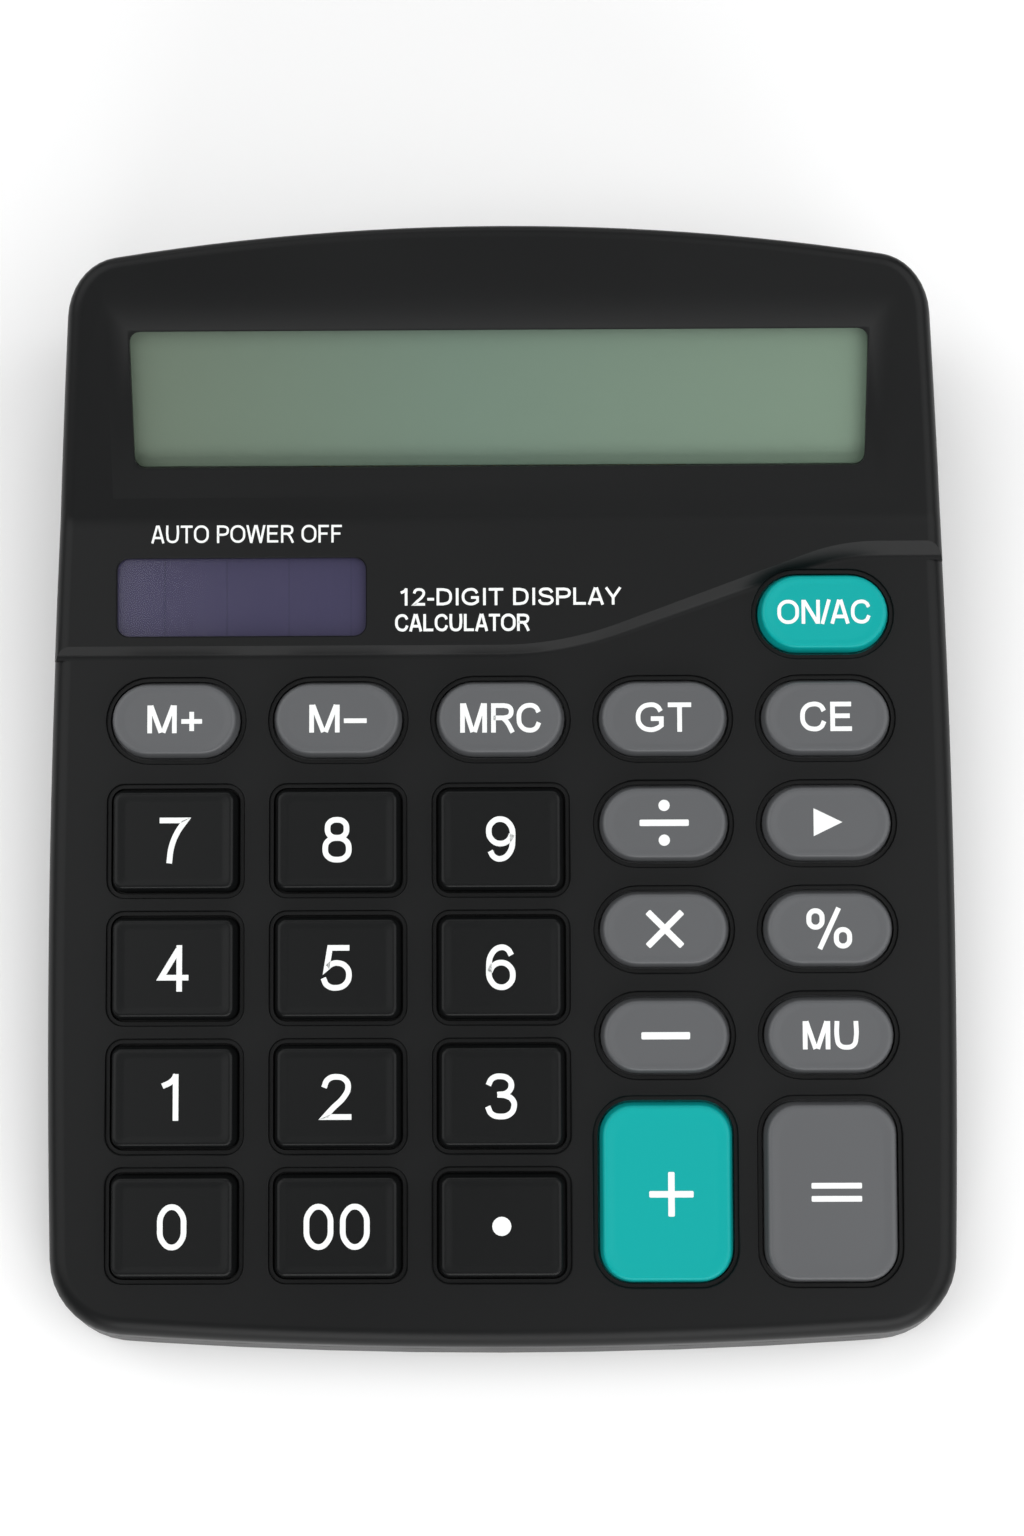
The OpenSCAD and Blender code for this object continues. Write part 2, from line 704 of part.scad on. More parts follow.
for (k = keys) key_cap(k);
for (i = [0:3]) foot(i);
upper_case();
lower_case();
battery_door();
door_latch();
display_window();
lcd_glass();
lcd_holder();
display_ribbon();
solar_window();
solar_cell();
key_mat();
main_board();
chip_blob();
capacitor();
battery_cell();
battery_spring();
battery_plate();
battery_lead_plus();
battery_lead_minus();
solar_lead_plus();
solar_lead_minus();
case_screws();
board_screws();
holder_screws();
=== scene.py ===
"""Desk calculator: the finished pieces around its fixed frame, each made by its own operator.

Every piece is modelled in millimetres on the surface it belongs to (the key deck, the ledge,
the display panel or the case itself), then set in place and brought to metres.
"""

import json
import math

import bmesh
import bpy
from bpy.props import FloatProperty, FloatVectorProperty, PointerProperty
from bpy.types import Operator, Panel, PropertyGroup
from mathutils import Euler, Matrix, Vector


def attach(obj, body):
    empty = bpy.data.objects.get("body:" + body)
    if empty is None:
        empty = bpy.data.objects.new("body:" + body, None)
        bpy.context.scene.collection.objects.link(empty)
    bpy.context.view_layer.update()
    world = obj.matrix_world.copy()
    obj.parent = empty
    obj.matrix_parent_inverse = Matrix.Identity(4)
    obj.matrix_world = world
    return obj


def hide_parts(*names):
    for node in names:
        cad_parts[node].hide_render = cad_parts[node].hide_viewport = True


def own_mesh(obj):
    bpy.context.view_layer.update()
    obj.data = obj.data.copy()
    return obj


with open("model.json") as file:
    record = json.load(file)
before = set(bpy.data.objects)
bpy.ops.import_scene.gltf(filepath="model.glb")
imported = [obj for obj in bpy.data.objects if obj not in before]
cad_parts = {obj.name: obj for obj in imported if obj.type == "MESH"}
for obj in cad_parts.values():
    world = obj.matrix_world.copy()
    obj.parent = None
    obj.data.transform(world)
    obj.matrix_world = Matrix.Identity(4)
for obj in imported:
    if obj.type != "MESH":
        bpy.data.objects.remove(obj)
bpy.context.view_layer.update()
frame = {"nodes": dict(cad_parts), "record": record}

bl_info = {
    "name": "Desk calculator",
    "version": (1, 0, 0),
    "blender": (4, 5, 0),
    "location": "3D View > Sidebar > Calculator",
    "description": "Builds a twelve-digit desk calculator around its fixed frame",
    "category": "Object",
}

MM = 0.001
# Well outside the case, for cutters
FAR = 110.0
# Two places closer than this are the same
NEAR = 0.01

# Surfaces of the case: where each one's reference point stands, and its tilt in degrees
DECK = ((0.0, -3.7, 18.0), 4.5)
FOLD_Y, FOLD_RISE = 35.5, 1.6
FOLD_Z = DECK[0][2] + (FOLD_Y - DECK[0][1]) * math.tan(math.radians(DECK[1])) + FOLD_RISE
LEDGE = ((0.0, FOLD_Y, FOLD_Z), 6.5)
PANEL = ((0.0, FOLD_Y, FOLD_Z), 26.0)
FLAT = ((0.0, 0.0, 0.0), 0.0)
# In front of this the ledge would run below the deck
LEDGE_START = 10.0

# Camera: its place in metres, its turn about X, Y and Z in degrees, and its lens in millimetres
CAMERA_AT = (0.00538, -0.06019, 0.41908)
CAMERA_TURN = (8.925, 0.576, -0.154)
LENS_LENGTH, SENSOR_WIDTH = 71.5, 36.0

# Case: levels of the walls' foot, of the block they are drawn on and of the seam, and the seam's edge
BASE_Z, BLOCK_Z, SEAM_Z = 1.5, 41.0, 7.5
SEAM_EDGE = 0.3
# Plan at the foot, how far the walls lean in, the radii of the bowed front, sides and rear, and the corners
CASE_W, CASE_L = 123.6, 148.4
SIDE_DRAFT, REAR_DRAFT = 6.5, 5.0
NOSE_BOW, FLANK_BOW, TAIL_BOW = 750.0, 1480.0, 350.0
CORNER_R = 11.2
# Where the sides are widest, and how far their bow stands out there
FLANK_Y, FLANK_OUT = -11.0, 0.041
# Curved step: its slope in degrees, its height and the steps of its cove; where its crest starts on the
# left, how far it sweeps to the rear, through which angle, and the radii of its two bends
RAMP_TILT, RAMP_TOP, RAMP_STEPS = 38.0, 1.2, 4
CREST_Y, CREST_SWEEP, CREST_TURN, CREST_R = 23.05, 13.04, 19.3, (48.0, 29.0)

# Keys: length, width and corner radius of each shape
SHAPES = {
    "number": (16.0, 12.9, 1.2),
    "oval": (16.4, 9.3, 4.65),
    "power": (16.7, 9.7, 4.85),
    "large": (16.8, 22.8, 3.9),
}
# Key caps: flange, walls, stem, rounded edge, and the share and fall of each step down into the dish
FLANGE, FLANGE_T, SKIRT_LOW, KEY_TAPER = 0.8, 0.8, -2.9, 0.3
KEY_WALL, KEY_TOP, STEM_R, STEM_LOW, EDGE_STEPS = 0.9, 1.2, 1.8, -3.2, 4
DISH_STEPS = ((0.97, 0.12), (0.955, 0.36), (0.95, 0.36), (0.95, 0.16))
# The shallow ring around each key
RING, RING_DEPTH, RING_STEP = 1.1, 0.5, 0.5
# Levels of the silicone mat, and how much of a dome's height is left when its key is down
MAT_LOW, MAT_TOP, FOLDED = -6.0, -5.2, 0.26
MAT, MAT_AT = (100.0, 77.7, 3.0), (0.0, -21.65)
MAT_TAB, MAT_TAB_AT, MAT_HOLE = (19.0, 24.0, 2.0), (41.5, 21.4), 1.9
# Pitch of the columns and rows, the first row of each kind, and the power key's own place
COLUMN, NUMBER_ROW, OVAL_ROW = 21.6, 16.9, 14.0
MEMORY_V, NUMBER_V, LARGE_V = 12.95, -3.1, -49.5
POWER_AT = (43.0, 26.9)

# Openings, as length, width and corner radius, and their places on the panel and on the ledge
WINDOW, WINDOW_AT = (97.0, 18.2, 1.5), (0.0, 16.15)
FRAME, FRAME_AT, FRAME_DEPTH, FRAME_LIP = (102.8, 26.2), (0.0, 16.3), 1.0, 0.5
GLASS_AT = (0.0, 16.8)
SOLAR, SOLAR_AT, SOLAR_EDGE = (33.5, 10.75, 1.75), (-34.45, -10.1), 0.15
# Plates behind the openings: length, width, corner radius, lower and upper level, and edge
LENS_PLATE = (100.4, 20.5, 0.4, -2.8, -1.8, 0.12)
LCD_PLATE = (99.8, 19.9, 0.2, -5.2, -3.0, 0.1)
SOLAR_COVER = (35.4, 12.65, 0.4, -1.7, -0.9, 0.12)
SOLAR_CELL = (35.0, 12.25, 0.3, -2.8, -1.72, 0.08)
# Screws in the deck, in the panel and under the case, and the feet
BOARD_SCREWS = [(-32.4, 5.9), (10.8, 5.9), (-10.8, -11.55), (32.4, -8.05), (-32.4, -45.35), (32.4, -35.9)]
HOLDER_SCREWS = [(-42.0, 4.6), (42.0, 4.6), (-42.0, 28.6), (42.0, 28.6)]
CASE_SCREWS = [(-38.0, -68.4), (38.0, -68.4), (-55.0, 60.0), (55.0, 60.0)]
FOOT_R, FOOT_TOP = 4.5, 2.0
FEET = {
    "foot_front_left": (-50.0, -60.0),
    "foot_front_right": (50.0, -60.0),
    "foot_rear_left": (-50.0, 50.0),
    "foot_rear_right": (50.0, 50.0),
}


def key_table():
    """Every key: name, x, distance along the deck, shape, finish, and its legend."""
    rows = [("key_on_ac", *POWER_AT, "power", "key_teal", "ON/AC")]
    memory = [("m_plus", "M+"), ("m_minus", "M−"), ("mrc", "MRC"), ("gt", "GT"), ("ce", "CE")]
    for i, (name, legend) in enumerate(memory):
        rows.append(("key_" + name, (i - 2) * COLUMN, MEMORY_V, "oval", "key_grey", legend))
    numbers = [["7", "8", "9"], ["4", "5", "6"], ["1", "2", "3"], ["0", "00", "point"]]
    for r, names in enumerate(numbers):
        for i, name in enumerate(names):
            v = NUMBER_V - r * NUMBER_ROW
            rows.append(("key_" + name, (i - 2) * COLUMN, v, "number", "key_black", name))
    signs = [["divide", "back"], ["multiply", "percent"], ["minus", "mu"]]
    for r, names in enumerate(signs):
        for i, name in enumerate(names):
            v = MEMORY_V - (r + 1) * OVAL_ROW
            rows.append(("key_" + name, (i + 1) * COLUMN, v, "oval", "key_grey", name))
    rows.append(("key_plus", COLUMN, LARGE_V, "large", "key_teal", "plus"))
    rows.append(("key_equals", 2 * COLUMN, LARGE_V, "large", "key_grey", "equals"))
    return rows


# ---- Modelling helpers ----


def only(obj):
    """Selects one object and nothing else."""
    bpy.ops.object.select_all(action="DESELECT")
    obj.select_set(True)
    bpy.context.view_layer.objects.active = obj


def edit(obj, kind="FACE", everything=False):
    """Opens an object for editing with nothing, or everything, selected."""
    only(obj)
    bpy.ops.object.mode_set(mode="EDIT")
    bpy.ops.mesh.select_mode(type=kind)
    bpy.ops.mesh.select_all(action="SELECT" if everything else "DESELECT")


def close():
    bpy.ops.object.mode_set(mode="OBJECT")


def pick(obj, kind, test):
    """Selects the vertices, edges or faces that pass a test, in place of the present selection."""
    bpy.ops.mesh.select_mode(type=kind)
    bpy.ops.mesh.select_all(action="DESELECT")
    mesh = bmesh.from_edit_mesh(obj.data)
    mesh.normal_update()
    parts = {"VERT": mesh.verts, "EDGE": mesh.edges, "FACE": mesh.faces}[kind]
    for part in parts:
        if test(part):
            part.select_set(True)
    mesh.select_flush_mode()
    bmesh.update_edit_mesh(obj.data)


def settle(obj, surface=FLAT, shift=(0.0, 0.0, 0.0)):
    """Sets a piece on one of the case's surfaces, still in millimetres."""
    place, tilt = surface
    only(obj)
    obj.matrix_world = (
        Matrix.Translation(place) @ Matrix.Rotation(math.radians(tilt), 4, "X") @ Matrix.Translation(shift)
    )
    bpy.ops.object.transform_apply(location=True, rotation=True, scale=True)
    return obj


def shift(obj, vector):
    settle(obj, FLAT, vector)
    return obj


def apply_last(obj):
    only(obj)
    bpy.ops.object.modifier_apply(modifier=obj.modifiers[-1].name)


def combine(obj, other, operation="DIFFERENCE"):
    """Cuts, joins or keeps what two closed shapes share; the second one is used up."""
    change = obj.modifiers.new("Combine", "BOOLEAN")
    change.operation, change.solver, change.object = operation, "EXACT", other
    apply_last(obj)
    bpy.data.objects.remove(other)
    return obj


def join(objs):
    only(objs[0])
    for obj in objs[1:]:
        obj.select_set(True)
    if len(objs) > 1:
        bpy.ops.object.join()
    return objs[0]


def copied(obj, name):
    twin = obj.copy()
    twin.data = obj.data.copy()
    twin.name = name
    bpy.context.scene.collection.objects.link(twin)
    return twin


def outwards(obj):
    edit(obj, "FACE", everything=True)
    bpy.ops.mesh.remove_doubles(threshold=0.001)
    bpy.ops.mesh.normals_make_consistent(inside=False)
    close()
    return obj


def trace(name, start, moves, height=0.0):
    """Draws a line of edges by straight runs ("to", point) and arcs ("arc", centre, degrees, steps)."""
    here = Vector(start)
    bpy.ops.mesh.primitive_plane_add(size=0.02, location=(here.x, here.y, height))
    obj = bpy.context.object
    obj.name = name
    bpy.ops.object.transform_apply(location=True)
    edit(obj, "VERT", everything=True)
    bpy.ops.mesh.merge(type="CENTER")
    for kind, place, *turn in moves:
        place = Vector(place)
        if kind == "to":
            step = place - here
            bpy.ops.mesh.extrude_region_move(TRANSFORM_OT_translate={"value": (step.x, step.y, 0.0)})
            here = place
        else:
            degrees, steps = turn
            bpy.ops.mesh.spin(
                steps=steps, angle=-math.radians(degrees), center=(place.x, place.y, height), axis=(0, 0, 1)
            )
            here = place + Matrix.Rotation(math.radians(degrees), 2) @ (here - place)
    close()
    return obj


def filled(obj, rise):
    """Closes a traced line, fills it, and raises it into a solid."""
    edit(obj, "EDGE", everything=True)
    bpy.ops.mesh.remove_doubles(threshold=0.005)
    bpy.ops.mesh.edge_face_add()
    if rise:
        bpy.ops.mesh.extrude_region_move(TRANSFORM_OT_translate={"value": (0.0, 0.0, rise)})
    close()
    return outwards(obj) if rise else obj


def side_profile(name, points, width):
    """A solid with the given outline seen from the side: each point is (y, z)."""
    moves = [("to", p) if isinstance(p[0], (int, float)) else p for p in points[1:]]
    obj = filled(trace(name, points[0], moves + [("to", points[0])]), width)
    upright = Matrix.Rotation(math.radians(120), 4, (1, 1, 1))
    obj.matrix_world = Matrix.Translation((-width / 2, 0, 0)) @ upright
    only(obj)
    bpy.ops.object.transform_apply(location=True, rotation=True, scale=True)
    return obj


def plate(name, length, width, radius, height=0.0, segments=6):
    """A flat face with round corners, looking up, its middle at the origin."""
    bpy.ops.mesh.primitive_plane_add(size=1.0, location=(0.0, 0.0, height))
    obj = bpy.context.object
    obj.name = name
    obj.scale = (length, width, 1.0)
    bpy.ops.object.transform_apply(location=True, scale=True)
    edit(obj, "VERT", everything=True)
    if radius:
        bpy.ops.mesh.bevel(offset=radius, offset_type="OFFSET", segments=segments, affect="VERTICES")
        bpy.ops.mesh.select_all(action="SELECT")
        bpy.ops.mesh.remove_doubles(threshold=0.01)
    close()
    return obj


def raise_steps(obj, steps, down=False):
    """Takes a flat face up (or down) in steps of (rise, inward step), and closes the shape."""
    edit(obj, "FACE", everything=True)
    sense = -1.0 if down else 1.0
    for rise, inward in steps:
        bpy.ops.mesh.extrude_region_move(TRANSFORM_OT_translate={"value": (0.0, 0.0, 0.0)})
        if inward:
            bpy.ops.mesh.inset(thickness=inward, depth=0.0)
        bpy.ops.transform.translate(value=(0.0, 0.0, sense * rise))
    close()
    return outwards(obj)


def slab(name, length, width, radius, low, high, edge=0.0, at=(0.0, 0.0)):
    """A plate with round corners from one level to another, its edges softened."""
    obj = raise_steps(plate(name, length, width, radius, low), [(high - low, 0.0)])
    if edge:
        soften(obj, edge, 2)
    return shift(obj, (at[0], at[1], 0.0))


def soften(obj, width, segments=3, angle=35.0):
    """Rounds every edge sharper than the angle."""
    change = obj.modifiers.new("Soften", "BEVEL")
    change.width, change.segments, change.limit_method = width, segments, "ANGLE"
    change.angle_limit, change.use_clamp_overlap = math.radians(angle), True
    apply_last(obj)
    return obj


def rod(name, radius, low, high, at=(0.0, 0.0), sides=24, along=None):
    """A round bar between two levels, or turned to run along an axis."""
    middle = (0.0, 0.0, (low + high) / 2)
    bpy.ops.mesh.primitive_cylinder_add(radius=radius, depth=high - low, vertices=sides, location=middle)
    obj = bpy.context.object
    obj.name = name
    bpy.ops.object.transform_apply(location=True)
    if along:
        obj.matrix_world = Matrix.Rotation(math.radians(90), 4, along)
        bpy.ops.object.transform_apply(rotation=True)
    return shift(obj, (at[0], at[1], at[2] if len(at) > 2 else 0.0))


def steady_shading(obj, angle=30.0):
    """Smooth shading that keeps flat faces flat beside their rounded edges."""
    only(obj)
    bpy.ops.object.shade_smooth_by_angle(angle=math.radians(angle))
    change = obj.modifiers.new("Steady", "WEIGHTED_NORMAL")
    change.keep_sharp, change.weight = True, 60
    apply_last(obj)


def complete(obj, name, look, body="root", replaces=(), angle=30.0, steady=True):
    """Brings a finished piece to metres, gives it its finish, and fixes it to its body."""
    only(obj)
    obj.name = name
    obj.data.name = name
    obj.scale = (MM, MM, MM)
    bpy.ops.object.transform_apply(location=True, rotation=True, scale=True)
    if steady:
        steady_shading(obj, angle)
    else:
        bpy.ops.object.shade_smooth_by_angle(angle=math.radians(angle))
    obj.data.materials.clear()
    obj.data.materials.append(look)
    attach(obj, body)
    if replaces:
        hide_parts(*replaces)
    return obj


# ---- Finishes ----


class Value:
    """A value that changes over a surface. Its operators add Math nodes."""

    def __init__(self, finish, socket):
        self.finish, self.socket = finish, socket

    def maths(self, operation, *terms):
        return self.finish.node("ShaderNodeMath", {"operation": operation}, dict(enumerate(terms)))

    def __add__(self, other):
        return self.maths("ADD", self, other)

    def __sub__(self, other):
        return self.maths("SUBTRACT", self, other)

    def __rsub__(self, other):
        return self.maths("SUBTRACT", other, self)

    def __mul__(self, other):
        return self.maths("MULTIPLY", self, other)

    def __truediv__(self, other):
        return self.maths("DIVIDE", self, other)

    def __gt__(self, other):
        return self.maths("GREATER_THAN", self, other)

    def __abs__(self):
        return self.maths("ABSOLUTE", self)

    __radd__, __rmul__ = __add__, __mul__


class Finish:
    """A material and the nodes behind it."""

    def __init__(self, name, colour, roughness, **sockets):
        self.material = bpy.data.materials.new(name)
        self.material.use_nodes = True
        self.tree = self.material.node_tree
        self.shader = self.tree.nodes["Principled BSDF"]
        self.colour, self.roughness = (*colour, 1.0), roughness
        self.shader.inputs["Base Color"].default_value = self.colour
        self.shader.inputs["Roughness"].default_value = roughness
        for socket, value in sockets.items():
            self.shader.inputs[socket.replace("_", " ")].default_value = value
        self.place = self.node("ShaderNodeTexCoord", {}, {}, "Object")

    def node(self, kind, settings, values, output=0):
        """Adds one node: its settings first, then the values or links of its sockets."""
        made = self.tree.nodes.new(kind)
        for setting, value in settings.items():
            if setting == "stops":
                ramp = made.color_ramp
                while len(ramp.elements) < len(value):
                    ramp.elements.new(1.0)
                for element, (position, colour) in zip(ramp.elements, value):
                    element.position, element.color = position, (*colour, 1.0)
            else:
                setattr(made, setting, value)
        for socket, value in values.items():
            if isinstance(value, Value):
                self.tree.links.new(value.socket, made.inputs[socket])
            else:
                made.inputs[socket].default_value = value
        return Value(self, made.outputs[output])

    def feed(self, socket, value):
        self.tree.links.new(value.socket, self.shader.inputs[socket])

    def noise(self, size, detail=2.0, stretch=None):
        """Soft random patches of about the given size in millimetres."""
        place = self.place
        if stretch:
            place = self.node("ShaderNodeMapping", {}, {"Vector": place, "Scale": stretch})
        settings = {"Vector": place, "Scale": 1.0 / (size * MM), "Detail": detail}
        return self.node("ShaderNodeTexNoise", {}, settings)

    def across(self, axis):
        """Distance along one axis, in millimetres."""
        return self.node("ShaderNodeSeparateXYZ", {}, {0: self.place}, axis) * (1.0 / MM)

    def ramp(self, value, stops):
        return self.node("ShaderNodeValToRGB", {"stops": stops}, {"Fac": value})

    def mix(self, factor, one, two, kind="MIX"):
        """Blends two colours by a factor."""
        made = {"data_type": "RGBA", "blend_type": kind}
        one, two = [c if isinstance(c, Value) else (*c[:3], 1.0) for c in (one, two)]
        return self.node("ShaderNodeMix", made, {"Factor": factor, 6: one, 7: two}, 2)

    def grain(self, height, depth, strength):
        """Relief: a height map whose full range is the given depth in millimetres."""
        bump = self.node(
            "ShaderNodeBump", {}, {"Strength": strength, "Distance": depth * MM, "Height": height}, "Normal"
        )
        self.feed("Normal", bump)
        return self

    def moulded(self, grain=0.32, depth=0.012, strength=0.5, patch=0.06, gloss=0.08):
        """Injection-moulded plastic: spark-eroded grain, faint flow patches, uneven sheen."""
        fine = self.noise(grain, 3.0)
        flow = self.noise(38.0, 2.0)
        lifted = [min(1.0, c * (1.0 + patch)) for c in self.colour[:3]]
        lowered = [c * (1.0 - patch) for c in self.colour[:3]]
        self.feed("Base Color", self.mix(flow, lowered, lifted))
        self.feed("Roughness", (flow - 0.5) * gloss + (fine - 0.5) * gloss + self.roughness)
        return self.grain(fine, depth, strength)


def colour(name):
    return tuple(getattr(bpy.context.scene.calculator_finishes, name))


def make_finishes():
    """Every finish by name, made once."""
    looks = bpy.context.scene.calculator_finishes
    made = {}

    def add(name, finish):
        made[name] = finish.material
        return finish

    case = Finish("case_black", colour("case"), looks.case_roughness, Specular_IOR_Level=0.17)
    add("case_black", case).moulded()
    keys = [
        ("key_black", colour("black_key"), 0.34, 0.18, 0.06),
        ("key_grey", colour("grey_key"), 0.36, 0.28, 0.04),
        ("key_teal", colour("teal_key"), 0.36, 0.16, 0.03),
    ]
    for name, base, roughness, shine, patch in keys:
        add(name, Finish(name, base, roughness, Specular_IOR_Level=shine)).moulded(0.5, 0.006, 0.4, patch)
    ink = add("legend_white", Finish("legend_white", (0.84, 0.86, 0.85), 0.5))
    ink.feed("Base Color", ink.mix(ink.noise(0.9), (0.78, 0.8, 0.79), (0.88, 0.9, 0.89)))

    rubber = add("foot_rubber", Finish("foot_rubber", (0.018, 0.018, 0.019), 0.8)).moulded(0.25, 0.02, 0.8)
    rubber.shader.inputs["Specular IOR Level"].default_value = 0.3

    window = add("clear_window", Finish("clear_window", (0.02, 0.025, 0.022), 0.06, Alpha=0.07))
    window.feed("Roughness", window.noise(9.0) * 0.06 + 0.04)

    lcd = add("lcd", Finish("lcd", (0.17, 0.24, 0.18), 0.5))
    # Painted light: the display glass is painted from a darker grey-green at its left end to a lighter one
    # at its right, standing in for light falling from the right
    painted_light_ramp = [(0.0, (0.15, 0.2, 0.145)), (0.45, (0.165, 0.245, 0.185)), (1.0, (0.2, 0.29, 0.21))]
    lcd.feed("Base Color", lcd.ramp(lcd.across("X") / 100.0 + 0.5, painted_light_ramp))
    lcd.grain(lcd.noise(0.3), 0.004, 0.3)

    add("holder_white", Finish("holder_white", (0.62, 0.62, 0.59), 0.5)).moulded(0.5, 0.01, 0.4)
    ribbon = add("ribbon", Finish("ribbon", (0.42, 0.24, 0.06), 0.4))
    lines = ribbon.node("ShaderNodeMath", {"operation": "SINE"}, {0: ribbon.across("X") * 6.2832}) > 0.2
    ribbon.feed("Base Color", ribbon.mix(lines, (0.42, 0.24, 0.06), (0.55, 0.36, 0.12)))

    tinted = add("solar_tint", Finish("solar_tint", (0.07, 0.065, 0.13), 0.14, Alpha=0.45))
    tinted.feed("Roughness", tinted.noise(6.0) * 0.08 + 0.1)
    cell = add("solar_silicon", Finish("solar_silicon", (0.075, 0.06, 0.12), 0.3))
    streak = cell.noise(0.6, 3.0, (1.0, 0.06, 1.0))
    share = cell.node("ShaderNodeMath", {"operation": "FRACT"}, {0: cell.across("X") / 8.3 + 0.4})
    bars = abs(share - 0.5) > 0.485
    face = cell.mix(streak, (0.06, 0.05, 0.1), (0.1, 0.08, 0.15))
    cell.feed("Base Color", cell.mix(bars, face, (0.03, 0.028, 0.06)))

    silicone = add("silicone", Finish("silicone", (0.6, 0.58, 0.54), 0.55, Subsurface_Weight=0.2))
    silicone.shader.inputs["Subsurface Radius"].default_value = (0.002, 0.0015, 0.001)
    silicone.grain(silicone.noise(0.8), 0.01, 0.4)

    board = add("board_green", Finish("board_green", (0.02, 0.12, 0.045), 0.35))
    threads = {"Color1": (1, 1, 1, 1), "Color2": (0.8, 0.8, 0.8, 1), "Mortar": (0, 0, 0, 1)}
    threads.update({"Vector": board.place, "Scale": 700.0})
    weave = board.node("ShaderNodeTexBrick", {"offset": 0.0, "squash": 1.0}, threads)
    board.feed("Base Color", board.mix(board.noise(4.0), (0.016, 0.1, 0.036), (0.026, 0.14, 0.055)))
    board.grain(weave, 0.01, 0.25)

    copper = add("board_tracks", Finish("board_tracks", (0.03, 0.2, 0.07), 0.3))
    copper.feed("Base Color", copper.mix(copper.noise(1.5), (0.028, 0.17, 0.06), (0.04, 0.23, 0.085)))
    epoxy = add("epoxy", Finish("epoxy", (0.012, 0.012, 0.012), 0.22))
    epoxy.grain(epoxy.noise(1.6), 0.06, 0.5)
    sleeve = add("capacitor_sleeve", Finish("capacitor_sleeve", (0.02, 0.035, 0.16), 0.3))
    sleeve.feed("Base Color", sleeve.mix(sleeve.noise(2.0), (0.018, 0.03, 0.14), (0.025, 0.045, 0.19)))

    jacket = add("cell_jacket", Finish("cell_jacket", (0.05, 0.05, 0.055), 0.28, Metallic=0.4))
    band = jacket.across("X") > 12.0
    jacket.feed("Base Color", jacket.mix(band, (0.03, 0.032, 0.036), (0.5, 0.3, 0.08)))
    jacket.feed("Roughness", jacket.noise(3.0) * 0.15 + 0.2)

    metal = add("contact_metal", Finish("contact_metal", (0.62, 0.62, 0.6), 0.3, Metallic=1.0))
    metal.feed("Roughness", metal.noise(0.4, 3.0, (1.0, 0.1, 1.0)) * 0.2 + 0.2)
    steel = add("screw_steel", Finish("screw_steel", (0.5, 0.51, 0.53), 0.32, Metallic=1.0))
    steel.feed("Roughness", steel.noise(0.3, 3.0) * 0.25 + 0.2)
    for name, base in (("wire_red", (0.42, 0.02, 0.015)), ("wire_black", (0.015, 0.015, 0.016))):
        wire = add(name, Finish(name, base, 0.4))
        wire.feed("Roughness", wire.noise(1.2) * 0.15 + 0.33)
    return made


FINISHES = {}

# ---- Case shapes ----


def meeting(a, reach_a, b, reach_b, side):
    """The centre that stands the given distances from two others."""
    line = b - a
    along = (reach_a**2 - reach_b**2 + line.length_squared) / (2 * line.length)
    off = math.sqrt(reach_a**2 - along**2) * side
    line.normalize()
    return a + line * along + Vector((-line.y, line.x)) * off


def case_ring(name, height, side_in, rear_in):
    """Right half of the case's plan: three shallow bows joined by two round corners."""
    half, radius = CASE_W / 2 - side_in, CORNER_R - side_in
    front, rear = -CASE_L / 2 + side_in, CASE_L / 2 - rear_in
    nose = Vector((0.0, front + NOSE_BOW))
    flank = Vector((half - FLANK_BOW + FLANK_OUT, FLANK_Y))
    tail = Vector((0.0, rear - TAIL_BOW))
    first = meeting(nose, NOSE_BOW - radius, flank, FLANK_BOW - radius, 1)
    last = meeting(tail, TAIL_BOW - radius, flank, FLANK_BOW - radius, -1)
    stops = [
        (nose, Vector((0.0, front)), nose + (first - nose).normalized() * NOSE_BOW, 8),
        (first, None, flank + (first - flank).normalized() * FLANK_BOW, 9),
        (flank, None, flank + (last - flank).normalized() * FLANK_BOW, 14),
        (last, None, tail + (last - tail).normalized() * TAIL_BOW, 9),
        (tail, None, Vector((0.0, rear)), 12),
    ]
    here, moves = stops[0][1], []
    for centre, _, end, steps in stops:
        turn = (here - centre).angle_signed(end - centre)
        moves.append(("arc", centre, abs(math.degrees(turn)), steps))
        here = end
    return trace(name, (0.0, front), moves, height)


def case_block(name, inset=0.0, base=BASE_Z):
    """The tapered block that every outer wall of the case lies on, drawn in by a wall."""
    rise = BLOCK_Z - BASE_Z
    low = case_ring(name, base, inset, inset)
    side_in, rear_in = (inset + rise * math.tan(math.radians(draft)) for draft in (SIDE_DRAFT, REAR_DRAFT))
    high = case_ring(name, BLOCK_Z, side_in, rear_in)
    obj = join([low, high])
    change = obj.modifiers.new("Mirror", "MIRROR")
    change.merge_threshold, change.use_clip = 0.02, True
    apply_last(obj)
    edit(obj, "EDGE", everything=True)
    bpy.ops.mesh.bridge_edge_loops()
    for height in (base, BLOCK_Z):
        pick(obj, "EDGE", lambda e: all(abs(v.co.z - height) < NEAR for v in e.verts))
        bpy.ops.mesh.edge_face_add()
    close()
    return outwards(obj)


def level(surface, y, drop=0.0):
    """Height of a tilted surface at a place, lowered by a wall."""
    (_, at_y, at_z), tilt = surface
    return at_z + (y - at_y) * math.tan(math.radians(tilt)) - drop / math.cos(math.radians(tilt))


def above_rear(radius):
    """Everything above the ledge and the display panel, with a soft fold between them."""
    half = math.radians((PANEL[1] - LEDGE[1]) / 2)
    run = radius * math.tan(half)
    ledge = math.radians(LEDGE[1])
    touch = Vector((FOLD_Y - run * math.cos(ledge), FOLD_Z - run * math.sin(ledge)))
    centre = touch + Vector((-math.sin(ledge), math.cos(ledge))) * radius
    return side_profile(
        "above_rear",
        [
            (LEDGE_START, 90.0),
            (LEDGE_START, level(LEDGE, LEDGE_START)),
            touch,
            ("arc", centre, PANEL[1] - LEDGE[1], 8),
            (FAR, level(PANEL, FAR)),
            (FAR, 90.0),
        ],
        2 * FAR,
    )


